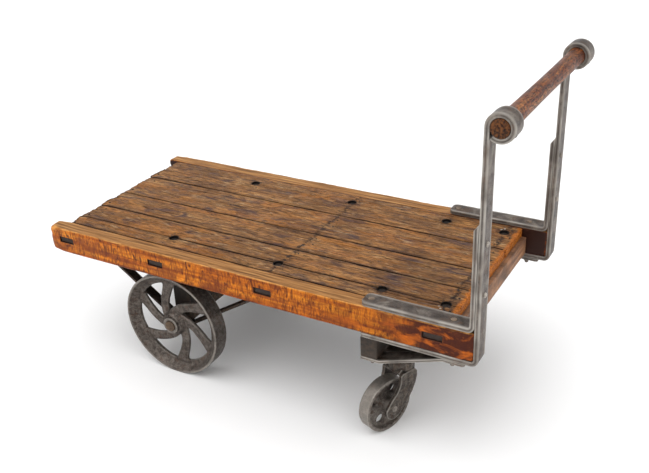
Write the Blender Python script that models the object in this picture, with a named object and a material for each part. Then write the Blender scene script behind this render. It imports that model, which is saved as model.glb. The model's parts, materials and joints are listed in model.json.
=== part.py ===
"""Antique industrial platform truck: a plank deck between two timber sills, a bar
handle on iron uprights, two cast-iron wheels on a fixed axle and two swivel casters.

Metres, +Z up, +X towards the handle. Places along X are measured from the free end
of the sills. The empty "cart" carries everything and puts the origin at the middle
of the cart's outline, on the floor. Left is +Y and right is -Y.
"""
import math

import bmesh
import bpy
from mathutils import Matrix, Vector

# Driving dimensions
DECK_TOP = 0.403
SILL_LENGTH = 1.320
SILL_HEIGHT = 0.077
SILL_WIDTH = 0.046
SILL_OUTER = 0.305
GAP = 0.0003

# Timber
PLANK_THICKNESS = 0.026
PLANK_GAP = 0.003
PLANK_START = 0.036
PLANK_END = 1.250
PLANK_SEAMS = (0.2585, 0.115, -0.020, -0.124, -0.209, -0.2585)
MEMBER_CENTRES = (0.064, 0.393, 0.745, 1.218)
MEMBER_WIDTH = 0.090
TENON_WIDTH = 0.050
TENON_HEIGHT = 0.016
TENON_DROP = 0.028
TENON_RECESS = 0.003
LIP = 0.012

# Wheels and their axle
WHEEL_RADIUS = 0.159
WHEEL_FACE = 0.290
TREAD_WIDTH = 0.053
RIM_LIP = 0.006
RIM_DEPTH = 0.031
WEB_HALF = 0.006
AXLE_X = 0.405
AXLE_SQUARE = 0.038
AXLE_RADIUS = 0.016
AXLE_BED = 0.235
AXLE_END = 0.2935
BORE_PLAY = 0.0005
HUB_RADIUS = 0.029
HUB_OUTER = 0.2915
HUB_INNER = 0.2425
SPOKES = 6
SPOKE_END_ANGLE = math.radians(95.0)
SPOKE_SWEEP = math.radians(52.0)
BLOCK_WIDTH = 0.060
BLOCK_REACH = 0.226
STAY_INNER = 0.204
STAY_WIDTH = 0.028
STAY_THICKNESS = 0.008
STAY_FEET = ((0.050, 0.112), (0.722, 0.780))

# Handle
STRAP_THICKNESS = 0.012
STRAP_WIDTH = 0.048
STRAP_MIDDLE = 0.282
STRAP_START = 1.030
BEND = 0.012
GRIP_RADIUS = 0.0215
GRIP_HEIGHT = 0.901
GRIP_REACH = 0.310
EYE_CLOSE = math.radians(-128.0)
BRACKET_TOP = 0.678
BRACKET_SLANT = 0.014

# Casters
BOLSTER_X = 1.028
BOLSTER_WIDTH = 0.046
BOLSTER_BOTTOM = 0.256
BOARD_START = 1.022
BOARD_END = 1.140
BOARD_REACH = 0.250
BOARD_THICKNESS = 0.030
BRACE_RISE = 1.245
BRACE_END = 1.300
PLATE_SIDE = 0.110
PLATE_THICKNESS = 0.008
RACE_RADIUS = 0.034
RACE_DEPTH = 0.008
CASTER_X = 1.083
CASTER_Y = 0.182
CASTER_TURN = math.radians(69.0)
CASTER_TRAIL = 0.060
CASTER_RADIUS = 0.0765
CASTER_TREAD = 0.0345
CASTER_RIM = 0.010
CASTER_HUB = 0.049
CASTER_HUB_RADIUS = 0.019
CASTER_WEB_HALF = 0.0045
WEB_HOLE_RADIUS = 0.0135
WEB_HOLE_CIRCLE = 0.0445
WEB_HOLE_START = math.radians(61.5)
FORK_INSIDE = 0.0265
FORK_ARM = 0.0105
CROWN_BOTTOM = 0.163
CROWN_TOP = 0.178
KINGPIN_LOW = 0.175
FORK_EYE = 0.027
FORK_EYE_DROP = 0.005
HEAD_RADIUS = 0.035
PIN_RADIUS = 0.008
RIVET_RADIUS = 0.010

SILL_BOTTOM = DECK_TOP - SILL_HEIGHT
SILL_INNER = SILL_OUTER - SILL_WIDTH
PLANK_BOTTOM = DECK_TOP - PLANK_THICKNESS
EYE_RADIUS = GRIP_RADIUS + GAP + STRAP_THICKNESS / 2
EYE_X = SILL_LENGTH + GAP + STRAP_THICKNESS / 2 + EYE_RADIUS
CENTRE_X = (EYE_X + EYE_RADIUS + STRAP_THICKNESS / 2) / 2
SIDES = {"left": 1, "right": -1}
HALF_TURN = Matrix.Rotation(math.pi, 4, "Z")

WOOD_DECK = ((0.33, 0.19, 0.09), 0.75, 0.0)
WOOD_SILL = ((0.50, 0.19, 0.04), 0.40, 0.0)
WOOD_DARK = ((0.16, 0.08, 0.05), 0.70, 0.0)
WOOD_GRIP = ((0.25, 0.09, 0.04), 0.45, 0.0)
IRON_STRAP = ((0.22, 0.21, 0.20), 0.45, 1.0)
IRON_CAST = ((0.10, 0.09, 0.08), 0.60, 1.0)


def clear_scene():
    for obj in list(bpy.data.objects):
        bpy.data.objects.remove(obj, do_unlink=True)


def finish_material(name, finish):
    colour, roughness, metallic = finish
    material = bpy.data.materials.new(name)
    material.use_nodes = True
    shader = material.node_tree.nodes["Principled BSDF"]
    shader.inputs["Base Color"].default_value = (*colour, 1.0)
    shader.inputs["Roughness"].default_value = roughness
    shader.inputs["Metallic"].default_value = metallic
    return material


def place(obj, parent):
    bpy.context.scene.collection.objects.link(obj)
    obj.parent = parent
    return obj


def pivot(name, location, parent=None, turn=0.0):
    """An empty on a joint's axis, or the one that carries the whole cart."""
    empty = bpy.data.objects.new(name, None)
    empty.location = location
    empty.rotation_euler = (0.0, 0.0, turn)
    return place(empty, parent)


def solid(name, bm, finish, parent, smooth=False):
    """Turn a closed bmesh into a named object with its own material."""
    bmesh.ops.recalc_face_normals(bm, faces=bm.faces)
    mesh = bpy.data.meshes.new(name)
    bm.to_mesh(mesh)
    bm.free()
    if smooth:
        mesh.shade_smooth()
        mesh.set_sharp_from_angle(angle=math.radians(35))
    obj = bpy.data.objects.new(name, mesh)
    obj.data.materials.append(finish_material(name, finish))
    return place(obj, parent)


def add_box(bm, low, high):
    """Add a box to a bmesh by its lowest and highest corners."""
    corners = [bm.verts.new((x, y, z)) for x in (low[0], high[0])
               for y in (low[1], high[1]) for z in (low[2], high[2])]
    for face in ((0, 1, 3, 2), (4, 6, 7, 5), (0, 4, 5, 1), (2, 3, 7, 6), (0, 2, 6, 4), (1, 5, 7, 3)):
        bm.faces.new([corners[i] for i in face])


def box(name, low, high, finish, parent, bevel=0.0):
    bm = bmesh.new()
    add_box(bm, low, high)
    obj = solid(name, bm, finish, parent)
    if bevel > 0.0:
        add_bevel(obj, bevel)
    return obj


def add_bevel(obj, width, segments=2):
    modifier = obj.modifiers.new("worn edges", "BEVEL")
    modifier.width = width
    modifier.segments = segments
    modifier.limit_method = "ANGLE"
    modifier.angle_limit = math.radians(40)


def combine(obj, others, operation="UNION"):
    """Join other objects to this one, or cut them out of it, and remove them."""
    for other in others:
        modifier = obj.modifiers.new(operation.lower(), "BOOLEAN")
        modifier.object = other
        modifier.operation = operation
        modifier.solver = "EXACT"
    bpy.context.view_layer.update()
    evaluated = obj.evaluated_get(bpy.context.evaluated_depsgraph_get())
    mesh = bpy.data.meshes.new_from_object(evaluated)
    obj.modifiers.clear()
    obj.data = mesh
    for other in others:
        bpy.data.objects.remove(other, do_unlink=True)
    return obj


def prism(bm, outline, low, high, across="y"):
    """Extrude an (a, b) outline between two places along one axis."""
    def point(a, b, t):
        if across == "y":
            return (a, t, b)
        return (a, b, t)
    rings = [[bm.verts.new(point(a, b, t)) for a, b in outline] for t in (low, high)]
    count = len(outline)
    for i in range(count):
        j = (i + 1) % count
        bm.faces.new((rings[0][i], rings[0][j], rings[1][j], rings[1][i]))
    bm.faces.new(rings[0])
    bm.faces.new(list(reversed(rings[1])))


def lathe(bm, profile, segments):
    """Turn a closed (radius, y) outline about the Y axis."""
    rings = []
    for k in range(segments):
        angle = 2 * math.pi * k / segments
        rings.append([bm.verts.new((r * math.cos(angle), y, r * math.sin(angle))) for r, y in profile])
    count = len(profile)
    for k in range(segments):
        here, there = rings[k], rings[(k + 1) % segments]
        for i in range(count):
            j = (i + 1) % count
            bm.faces.new((here[i], here[j], there[j], there[i]))


def rod(bm, radius, low, high, segments):
    """A round bar along Y."""
    outline = [(radius * math.cos(2 * math.pi * k / segments), radius * math.sin(2 * math.pi * k / segments))
               for k in range(segments)]
    prism(bm, outline, low, high)


def arc(centre, radius, start, end, steps):
    """Points of an arc in the XZ plane, angles from +X towards +Z."""
    points = []
    for i in range(steps + 1):
        angle = start + (end - start) * i / steps
        points.append((centre[0] + radius * math.cos(angle), centre[1] + radius * math.sin(angle)))
    return points


def ribbon_outline(path, thickness, end_slant=0.0):
    """The outline of a flat bar bent along a path of (x, z) points."""
    points = [Vector(p) for p in path]
    left, right = [], []
    for i, point in enumerate(points):
        ahead = (points[min(i + 1, len(points) - 1)] - point)
        behind = (point - points[max(i - 1, 0)])
        ahead = ahead.normalized() if ahead.length > 0 else behind.normalized()
        behind = behind.normalized() if behind.length > 0 else ahead
        along = (ahead + behind).normalized()
        normal = Vector((-along.y, along.x))
        reach = thickness / 2 / max(0.5, along.dot(ahead))
        left.append(point + normal * reach)
        right.append(point - normal * reach)
    if end_slant:
        along = (points[-1] - points[-2]).normalized()
        left[-1] = left[-1] - along * end_slant
    return [tuple(p) for p in left] + [tuple(p) for p in reversed(right)]


def bent_bar(name, path, thickness, low, high, finish, parent, end_slant=0.0):
    """A flat iron bar of constant section, its width running along Y."""
    bm = bmesh.new()
    outline = ribbon_outline(path, thickness, end_slant)
    count = len(path)
    rings = [[bm.verts.new((a, t, b)) for a, b in outline] for t in (low, high)]
    total = len(outline)
    for i in range(total):
        j = (i + 1) % total
        bm.faces.new((rings[0][i], rings[0][j], rings[1][j], rings[1][i]))
    for ring in rings:
        for i in range(count - 1):
            bm.faces.new((ring[i], ring[i + 1], ring[total - 2 - i], ring[total - 1 - i]))
    return solid(name, bm, finish, parent)


def side_sill(side, sign, cart):
    """A timber rail with rounded worn lips at the free end and four through mortises."""
    top, low = DECK_TOP, SILL_BOTTOM
    outline = [(LIP * 1.6, low), (SILL_LENGTH - BEND / 2, low), (SILL_LENGTH, low + BEND / 2)]
    outline += [(SILL_LENGTH, top), (LIP * 1.5, top), (LIP * 0.5, top - LIP * 0.3), (0.0, top - LIP * 1.2)]
    outline += [(0.0, low + LIP * 1.8), (LIP * 0.4, low + LIP * 0.6)]
    bm = bmesh.new()
    faces = sorted((sign * SILL_INNER, sign * SILL_OUTER))
    prism(bm, outline, faces[0], faces[1])
    sill = solid("side_sill_" + side, bm, WOOD_SILL, cart)
    cutters = []
    for centre in MEMBER_CENTRES:
        half = TENON_WIDTH / 2 + GAP
        tenon_top = top - TENON_DROP + GAP
        reach = (faces[0] - 0.01, faces[1] + 0.01)
        cutters.append(box("mortise", (centre - half, reach[0], tenon_top - TENON_HEIGHT - 2 * GAP),
                           (centre + half, reach[1], tenon_top), WOOD_SILL, cart))
    return combine(sill, cutters, "DIFFERENCE")


def cross_member(index, cart):
    """A cross timber under the planks, with a thin tenon through each sill."""
    centre = MEMBER_CENTRES[index]
    half = MEMBER_WIDTH / 2
    shoulder = SILL_INNER - GAP
    top = PLANK_BOTTOM - GAP
    start = max(centre - half, 0.020)
    tenon_top = DECK_TOP - TENON_DROP
    name = "cross_member_%d" % (index + 1)
    body = box(name, (start, -shoulder, SILL_BOTTOM), (centre + half, shoulder, top), WOOD_DARK, cart)
    tenon_half = TENON_WIDTH / 2
    reach = SILL_OUTER - TENON_RECESS
    tenon = box("tenon", (centre - tenon_half, -reach, tenon_top - TENON_HEIGHT),
                (centre + tenon_half, reach, tenon_top), WOOD_DARK, cart)
    return combine(body, [tenon])


def plank_end(y, low, high, seed):
    """How far a worn plank end stands back at y: rounded corners and a soft wave."""
    middle = (y - low) / (high - low)
    corner = 0.010 * abs(2 * middle - 1) ** 5
    return corner + 0.002 * math.sin(9 * middle + seed)


def deck_plank(index, cart):
    """One deck board; its ends are worn round towards the seams."""
    high = PLANK_SEAMS[index] - PLANK_GAP / 2
    low = PLANK_SEAMS[index + 1] + PLANK_GAP / 2
    steps = 6
    free, handle = [], []
    for i in range(steps + 1):
        y = low + (high - low) * i / steps
        free.append((PLANK_START + plank_end(y, low, high, 2.1 * index), y))
        handle.append((PLANK_END - plank_end(y, low, high, 1.3 * index), y))
    bm = bmesh.new()
    prism(bm, handle + list(reversed(free)), PLANK_BOTTOM, DECK_TOP, across="z")
    return solid("deck_plank_%d" % (index + 1), bm, WOOD_DECK, cart)


def axle_block(cart):
    half = BLOCK_WIDTH / 2
    bottom = WHEEL_RADIUS + AXLE_SQUARE / 2 + GAP
    return box("axle_block", (AXLE_X - half, -BLOCK_REACH, bottom),
               (AXLE_X + half, BLOCK_REACH, SILL_BOTTOM - GAP), WOOD_DARK, cart, bevel=0.004)


def axle(cart):
    """A square bar with round arms for the wheels."""
    half = AXLE_SQUARE / 2
    bar = box("axle", (-half, -AXLE_BED, -half), (half, AXLE_BED, half), IRON_CAST, cart)
    bm = bmesh.new()
    rod(bm, AXLE_RADIUS, -AXLE_END, AXLE_END, 32)
    arms = solid("arms", bm, IRON_CAST, cart)
    combine(bar, [arms])
    bar.location = (AXLE_X, 0.0, WHEEL_RADIUS)
    return bar


def axle_collar(side, sign, cart):
    """The washer between the axle's square bed and the hub."""
    bm = bmesh.new()
    play = AXLE_RADIUS + GAP
    ends = (AXLE_BED + GAP, HUB_INNER - 0.0012)
    lathe(bm, [(play, ends[0]), (play, ends[1]), (0.027, ends[1]), (0.027, ends[0])], 32)
    if sign < 0:
        bmesh.ops.transform(bm, verts=bm.verts, matrix=HALF_TURN)
    collar = solid("axle_collar_" + side, bm, IRON_CAST, cart, smooth=True)
    collar.location = (AXLE_X, 0.0, WHEEL_RADIUS)
    return collar


def axle_stay(side, sign, cart):
    """A flat bar from one cross timber down under the axle and up to another."""
    foot = SILL_BOTTOM - GAP - STAY_THICKNESS / 2
    under = WHEEL_RADIUS - AXLE_SQUARE / 2 - GAP - STAY_THICKNESS / 2
    half = AXLE_SQUARE / 2 + 0.004
    front_foot, rear_foot = STAY_FEET
    path = [(front_foot[0], foot), (front_foot[1], foot), (AXLE_X - half, under), (AXLE_X + half, under),
            (rear_foot[0], foot), (rear_foot[1], foot)]
    low, high = sorted((sign * STAY_INNER, sign * (STAY_INNER + STAY_WIDTH)))
    return bent_bar("axle_stay_" + side, path, STAY_THICKNESS, low, high, IRON_CAST, cart)


def spoke(bm, end_angle, inner, outer, y_middle):
    """A flat curved arm that leaves the hub slantwise and meets the rim square on."""
    stations = 9
    rings = []
    for i in range(stations):
        part = i / (stations - 1)
        radius = inner + (outer - inner) * part
        angle = end_angle + SPOKE_SWEEP * (1 - part) ** 1.7
        ahead = end_angle + SPOKE_SWEEP * (1 - min(part + 0.01, 1.0)) ** 1.7
        step = (outer - inner) * 0.01
        here = Vector((radius * math.cos(angle), radius * math.sin(angle)))
        there = Vector(((radius + step) * math.cos(ahead), (radius + step) * math.sin(ahead)))
        along = (there - here).normalized()
        normal = Vector((-along.y, along.x))
        half_width = 0.0135 + 0.004 * part
        half_depth = 0.0065
        ring = []
        for across, deep in ((-1, -0.5), (-0.6, -1), (0.6, -1), (1, -0.5), (1, 0.5), (0.6, 1), (-0.6, 1), (-1, 0.5)):
            place_at = here + normal * (half_width * across)
            ring.append(bm.verts.new((place_at.x, y_middle + half_depth * deep, place_at.y)))
        rings.append(ring)
    for lower, upper in zip(rings, rings[1:]):
        for i in range(8):
            j = (i + 1) % 8
            bm.faces.new((lower[i], lower[j], upper[j], upper[i]))
    bm.faces.new(rings[0])
    bm.faces.new(list(reversed(rings[-1])))


def cart_wheel(side, sign, axis):
    """A cast wheel: flat tread, ribbed rim, six swept spokes and a long hub."""
    middle = WHEEL_FACE - TREAD_WIDTH / 2
    half = TREAD_WIDTH / 2
    edge = 0.003
    lip = WHEEL_RADIUS - RIM_LIP
    slope = (WHEEL_RADIUS - RIM_LIP * 2.2, half * 0.62)
    foot = WHEEL_RADIUS - RIM_DEPTH
    outer = [(foot + edge, WEB_HALF), (foot + edge * 3, WEB_HALF * 1.3), slope, (lip, half),
             (WHEEL_RADIUS - edge / 2, half), (WHEEL_RADIUS, half - edge / 2)]
    flank = [(radius, middle + y) for radius, y in outer]
    profile = [(foot, middle)] + flank + [(radius, 2 * middle - y) for radius, y in reversed(flank)]
    bm = bmesh.new()
    lathe(bm, profile, 48)
    wheel = solid("wheel_" + side, bm, IRON_CAST, axis)
    hub_bm = bmesh.new()
    bore = AXLE_RADIUS + BORE_PLAY
    lathe(hub_bm, [(bore, HUB_INNER), (bore, HUB_OUTER), (HUB_RADIUS - 0.003, HUB_OUTER),
                   (HUB_RADIUS, HUB_OUTER - 0.004), (HUB_RADIUS + 0.005, middle),
                   (HUB_RADIUS, HUB_INNER + 0.002)], 32)
    pieces = [solid("hub", hub_bm, IRON_CAST, axis)]
    for k in range(SPOKES):
        spoke_bm = bmesh.new()
        spoke(spoke_bm, SPOKE_END_ANGLE + 2 * math.pi * k / SPOKES, HUB_RADIUS - 0.002,
              WHEEL_RADIUS - RIM_DEPTH + 0.004, middle)
        pieces.append(solid("spoke", spoke_bm, IRON_CAST, axis))
    combine(wheel, pieces)
    wheel.data.transform(Matrix.Diagonal((1.0, -1.0, 1.0, 1.0)))
    wheel.data.flip_normals()
    if sign > 0:
        wheel.data.transform(HALF_TURN)
    wheel.data.shade_smooth()
    wheel.data.set_sharp_from_angle(angle=math.radians(35))
    return wheel


def handle_upright(side, sign, cart):
    """The outer bar: under the sill, up its end and rolled into an eye round the grip."""
    x = SILL_LENGTH + GAP + STRAP_THICKNESS / 2
    z = SILL_BOTTOM - GAP - STRAP_THICKNESS / 2
    path = [(STRAP_START, z)]
    path += arc((x - BEND, z + BEND), BEND, math.radians(-90), 0.0, 5)
    path += arc((EYE_X, GRIP_HEIGHT), EYE_RADIUS, math.radians(180), EYE_CLOSE, 26)
    low = sign * STRAP_MIDDLE - STRAP_WIDTH / 2
    return bent_bar("handle_upright_" + side, path, STRAP_THICKNESS, low, low + STRAP_WIDTH, IRON_STRAP, cart)


def handle_bracket(side, sign, cart):
    """The inner bar: along the sill's top and up the upright, with a slanted tip."""
    x = SILL_LENGTH - STRAP_THICKNESS / 2
    z = DECK_TOP + GAP + STRAP_THICKNESS / 2
    path = [(STRAP_START, z)]
    path += arc((x - BEND, z + BEND), BEND, math.radians(-90), 0.0, 5)
    path += [(x, BRACKET_TOP)]
    low = sign * STRAP_MIDDLE - STRAP_WIDTH / 2
    return bent_bar("handle_bracket_" + side, path, STRAP_THICKNESS, low, low + STRAP_WIDTH,
                    IRON_STRAP, cart, end_slant=BRACKET_SLANT)


def handle_grip(cart):
    bm = bmesh.new()
    rod(bm, GRIP_RADIUS, -GRIP_REACH, GRIP_REACH, 32)
    grip = solid("handle_grip", bm, WOOD_GRIP, cart, smooth=True)
    add_bevel(grip, 0.003)
    grip.location = (EYE_X, 0.0, GRIP_HEIGHT)
    return grip


def caster_bolster(cart):
    """The cross timber over the casters: its ends are let down to pass under the straps."""
    end_top = SILL_BOTTOM - STRAP_THICKNESS - 2 * GAP
    shoulder = SILL_INNER - 0.002
    tops = [(-SILL_OUTER, end_top), (-shoulder, end_top), (-shoulder, PLANK_BOTTOM - GAP),
            (shoulder, PLANK_BOTTOM - GAP), (shoulder, end_top), (SILL_OUTER, end_top)]
    outline = tops + [(SILL_OUTER, BOLSTER_BOTTOM), (-SILL_OUTER, BOLSTER_BOTTOM)]
    bm = bmesh.new()
    rings = [[bm.verts.new((x, y, z)) for y, z in outline] for x in (BOLSTER_X, BOLSTER_X + BOLSTER_WIDTH)]
    count = len(outline)
    for i in range(count):
        j = (i + 1) % count
        bm.faces.new((rings[0][i], rings[0][j], rings[1][j], rings[1][i]))
    bm.faces.new(rings[0])
    bm.faces.new(list(reversed(rings[1])))
    return solid("caster_bolster", bm, WOOD_DARK, cart)


def caster_board(cart):
    top = BOLSTER_BOTTOM - GAP
    return box("caster_board", (BOARD_START, -BOARD_REACH, top - BOARD_THICKNESS),
               (BOARD_END, BOARD_REACH, top), WOOD_DARK, cart, bevel=0.003)


def caster_brace(side, sign, cart):
    """A flat bar from under the bolster's end up to the strap below the sill."""
    low_z = BOLSTER_BOTTOM - GAP - STAY_THICKNESS / 2
    high_z = SILL_BOTTOM - STRAP_THICKNESS - 2 * GAP - STAY_THICKNESS / 2
    bolster_end = BOLSTER_X + BOLSTER_WIDTH
    path = [(BOLSTER_X, low_z), (bolster_end + 0.004, low_z), (BRACE_RISE, high_z), (BRACE_END, high_z)]
    low = sign * STRAP_MIDDLE - STRAP_WIDTH / 2
    return bent_bar("caster_brace_" + side, path, STAY_THICKNESS, low, low + STRAP_WIDTH, IRON_STRAP, cart)


def caster_plate(side, sign, cart):
    """The fixed top plate, with the upper race and the kingpin below it."""
    top = BOLSTER_BOTTOM - BOARD_THICKNESS - 2 * GAP
    half = PLATE_SIDE / 2
    plate = box("caster_plate_" + side, (-half, -half, top - PLATE_THICKNESS), (half, half, top), IRON_CAST, cart)
    race_top = top - PLATE_THICKNESS
    bm = bmesh.new()
    race = [(RACE_RADIUS * math.cos(2 * math.pi * k / 32), RACE_RADIUS * math.sin(2 * math.pi * k / 32))
            for k in range(32)]
    prism(bm, race, race_top - RACE_DEPTH, race_top + 0.002, across="z")
    pin_bm = bmesh.new()
    pin = [(PIN_RADIUS * math.cos(2 * math.pi * k / 24), PIN_RADIUS * math.sin(2 * math.pi * k / 24))
           for k in range(24)]
    prism(pin_bm, pin, KINGPIN_LOW, race_top, across="z")
    combine(plate, [solid("race", bm, IRON_CAST, cart), solid("kingpin", pin_bm, IRON_CAST, cart)])
    plate.location = (CASTER_X, sign * CASTER_Y, 0.0)
    return plate


def fork_arm_outline():
    """Side view of one arm: a broad blade that sweeps back from the crown and ends round the pin."""
    rear = [(-0.034, CROWN_TOP - 0.014), (-0.035, 0.148), (-0.039, 0.134), (-0.050, 0.117), (-0.068, 0.102)]
    front = [(-0.015, 0.076), (0.006, 0.102), (0.017, 0.124), (0.023, 0.146), (0.022, 0.160),
             (0.014, CROWN_TOP - 0.008)]
    eye_at = (-CASTER_TRAIL, CASTER_RADIUS - FORK_EYE_DROP)
    eye = arc(eye_at, FORK_EYE, math.radians(160), math.radians(315), 9)
    return rear + eye + front + [(-0.026, CROWN_TOP - 0.008)]


def caster_fork(side, swivel):
    """A cast fork: a round head over a crown, and two arms down to the wheel's pin."""
    head_top = BOLSTER_BOTTOM - BOARD_THICKNESS - 2 * GAP - PLATE_THICKNESS - RACE_DEPTH - 0.001
    outside = FORK_INSIDE + FORK_ARM
    bm = bmesh.new()
    crown = [(0.020, CROWN_BOTTOM), (0.020, CROWN_TOP - 0.006), (0.014, CROWN_TOP),
             (-0.026, CROWN_TOP), (-0.034, CROWN_TOP - 0.008), (-0.034, CROWN_BOTTOM)]
    prism(bm, crown, -FORK_INSIDE - 0.002, FORK_INSIDE + 0.002)
    fork = solid("caster_fork_" + side, bm, IRON_CAST, swivel)
    pieces = []
    for sign in (-1, 1):
        arm_bm = bmesh.new()
        low, high = sorted((sign * FORK_INSIDE, sign * outside))
        prism(arm_bm, fork_arm_outline(), low, high)
        pieces.append(solid("arm", arm_bm, IRON_CAST, swivel))
    head_bm = bmesh.new()
    segments = 32
    rings = []
    turned = ((HEAD_RADIUS, CROWN_BOTTOM + 0.003), (HEAD_RADIUS, CROWN_TOP), (HEAD_RADIUS - 0.001, CROWN_TOP + 0.010),
              (HEAD_RADIUS + 0.001, head_top - 0.004), (HEAD_RADIUS - 0.001, head_top))
    for radius, z in turned:
        rings.append([head_bm.verts.new((radius * math.cos(2 * math.pi * k / segments),
                                         radius * math.sin(2 * math.pi * k / segments), z)) for k in range(segments)])
    for lower, upper in zip(rings, rings[1:]):
        for k in range(segments):
            j = (k + 1) % segments
            head_bm.faces.new((lower[k], lower[j], upper[j], upper[k]))
    head_bm.faces.new(list(reversed(rings[0])))
    head_bm.faces.new(rings[-1])
    pieces.append(solid("head", head_bm, IRON_CAST, swivel))
    combine(fork, pieces)
    hole_bm = bmesh.new()
    play = PIN_RADIUS + BORE_PLAY
    hole = [(play * math.cos(2 * math.pi * k / 24), play * math.sin(2 * math.pi * k / 24)) for k in range(24)]
    prism(hole_bm, hole, KINGPIN_LOW - 0.0005, head_top + 0.01, across="z")
    pin_bm = bmesh.new()
    rod(pin_bm, PIN_RADIUS + GAP, -outside - 0.01, outside + 0.01, 24)
    pin_hole = solid("pin_hole", pin_bm, IRON_CAST, swivel)
    pin_hole.location = (-CASTER_TRAIL, 0.0, CASTER_RADIUS)
    return combine(fork, [solid("king_hole", hole_bm, IRON_CAST, swivel), pin_hole], "DIFFERENCE")


def caster_axle(side, swivel):
    """The riveted pin: a plain bar with a low round head at each end."""
    outside = FORK_INSIDE + FORK_ARM
    bm = bmesh.new()
    rod(bm, PIN_RADIUS, -outside - 0.001, outside + 0.001, 24)
    pin = solid("caster_axle_" + side, bm, IRON_CAST, swivel)
    heads = []
    for sign in (-1, 1):
        head_bm = bmesh.new()
        low, high = sorted((sign * (outside + GAP), sign * (outside + 0.004)))
        rod(head_bm, RIVET_RADIUS, low, high, 24)
        heads.append(solid("rivet", head_bm, IRON_CAST, swivel))
    combine(pin, heads)
    pin.location = (-CASTER_TRAIL, 0.0, CASTER_RADIUS)
    return pin


def caster_wheel(side, axis):
    """A cast wheel with a flat tread, a thin web pierced by four round holes, and a hub."""
    half = CASTER_TREAD / 2
    hub = CASTER_HUB / 2
    bore = PIN_RADIUS + BORE_PLAY
    rim = CASTER_RADIUS - CASTER_RIM
    edge = 0.002
    flank = [(CASTER_HUB_RADIUS - edge, hub), (CASTER_HUB_RADIUS + edge, CASTER_WEB_HALF), (rim - edge, CASTER_WEB_HALF),
            (rim, half), (CASTER_RADIUS - edge, half), (CASTER_RADIUS, half - edge)]
    profile = [(bore, -hub), (bore, hub)] + flank + [(radius, -y) for radius, y in reversed(flank)]
    bm = bmesh.new()
    lathe(bm, profile, 48)
    wheel = solid("caster_wheel_" + side, bm, IRON_CAST, axis)
    cutters = []
    for k in range(4):
        angle = WEB_HOLE_START + math.pi / 2 * k
        hole_bm = bmesh.new()
        rod(hole_bm, WEB_HOLE_RADIUS, -half, half, 20)
        hole = solid("web_hole", hole_bm, IRON_CAST, axis)
        hole.location = (WEB_HOLE_CIRCLE * math.cos(angle), 0.0, WEB_HOLE_CIRCLE * math.sin(angle))
        cutters.append(hole)
    combine(wheel, cutters, "DIFFERENCE")
    wheel.data.shade_smooth()
    wheel.data.set_sharp_from_angle(angle=math.radians(35))
    return wheel


def build_casters(cart):
    caster_board(cart)
    caster_bolster(cart)
    for side, sign in SIDES.items():
        caster_brace(side, sign, cart)
        caster_plate(side, sign, cart)
        swivel = pivot("swivel_" + side, (CASTER_X, sign * CASTER_Y, 0.0), cart, -sign * CASTER_TURN)
        caster_fork(side, swivel)
        caster_axle(side, swivel)
        spin = pivot("caster_spin_" + side, (-CASTER_TRAIL, 0.0, CASTER_RADIUS), swivel)
        caster_wheel(side, spin)


def build_wheels(cart):
    axle_block(cart)
    axle(cart)
    for side, sign in SIDES.items():
        axle_collar(side, sign, cart)
        axle_stay(side, sign, cart)
        spin = pivot("wheel_spin_" + side, (AXLE_X, 0.0, WHEEL_RADIUS), cart)
        cart_wheel(side, sign, spin)


def build_deck(cart):
    for side, sign in SIDES.items():
        side_sill(side, sign, cart)
    for index in range(len(MEMBER_CENTRES)):
        cross_member(index, cart)
    for index in range(len(PLANK_SEAMS) - 1):
        deck_plank(index, cart)


def build_handle(cart):
    for side, sign in SIDES.items():
        handle_upright(side, sign, cart)
        handle_bracket(side, sign, cart)
    handle_grip(cart)


def main():
    clear_scene()
    cart = pivot("cart", (-CENTRE_X, 0.0, 0.0))
    build_deck(cart)
    build_handle(cart)
    build_wheels(cart)
    build_casters(cart)
    bpy.context.view_layer.update()


main()
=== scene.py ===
"""Looks of an old platform truck: worn deck boards between varnished sills, wrought handle
bars with a wooden grip, two cast wheels with swept spokes, and two swivel casters.

Metres, +Z up, +X towards the handle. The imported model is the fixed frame; every finished
piece rides on one of its bodies, sits at the origin, and carries its place in its mesh.
"""
import json
import math

import bmesh
import bpy
import numpy as np
from bpy.props import FloatProperty, FloatVectorProperty, PointerProperty
from mathutils import Matrix, Vector


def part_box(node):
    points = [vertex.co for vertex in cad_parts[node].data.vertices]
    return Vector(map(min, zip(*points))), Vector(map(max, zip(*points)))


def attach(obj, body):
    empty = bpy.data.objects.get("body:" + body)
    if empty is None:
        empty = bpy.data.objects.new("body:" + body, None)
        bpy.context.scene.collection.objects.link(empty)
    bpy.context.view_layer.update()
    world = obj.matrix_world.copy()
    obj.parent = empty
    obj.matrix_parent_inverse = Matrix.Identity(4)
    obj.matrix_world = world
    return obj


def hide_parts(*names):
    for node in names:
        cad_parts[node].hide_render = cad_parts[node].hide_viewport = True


bl_info = {
    "name": "Platform truck",
    "version": (1, 0, 0),
    "blender": (4, 5, 0),
    "location": "3D View > Sidebar > Truck",
    "description": "Detailed timber and ironwork for an old platform truck",
    "category": "Add Mesh",
}

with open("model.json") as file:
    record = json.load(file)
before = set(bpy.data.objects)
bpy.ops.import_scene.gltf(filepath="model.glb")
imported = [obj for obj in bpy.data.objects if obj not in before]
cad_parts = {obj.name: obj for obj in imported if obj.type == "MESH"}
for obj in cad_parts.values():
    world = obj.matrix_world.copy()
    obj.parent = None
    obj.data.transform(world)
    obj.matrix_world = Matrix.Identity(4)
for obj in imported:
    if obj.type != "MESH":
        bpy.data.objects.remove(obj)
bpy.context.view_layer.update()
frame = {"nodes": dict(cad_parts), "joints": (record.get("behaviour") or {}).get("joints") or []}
SIDES = {"left": 1, "right": -1}
JOINTS = {joint["name"]: joint for joint in frame["joints"]}

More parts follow.
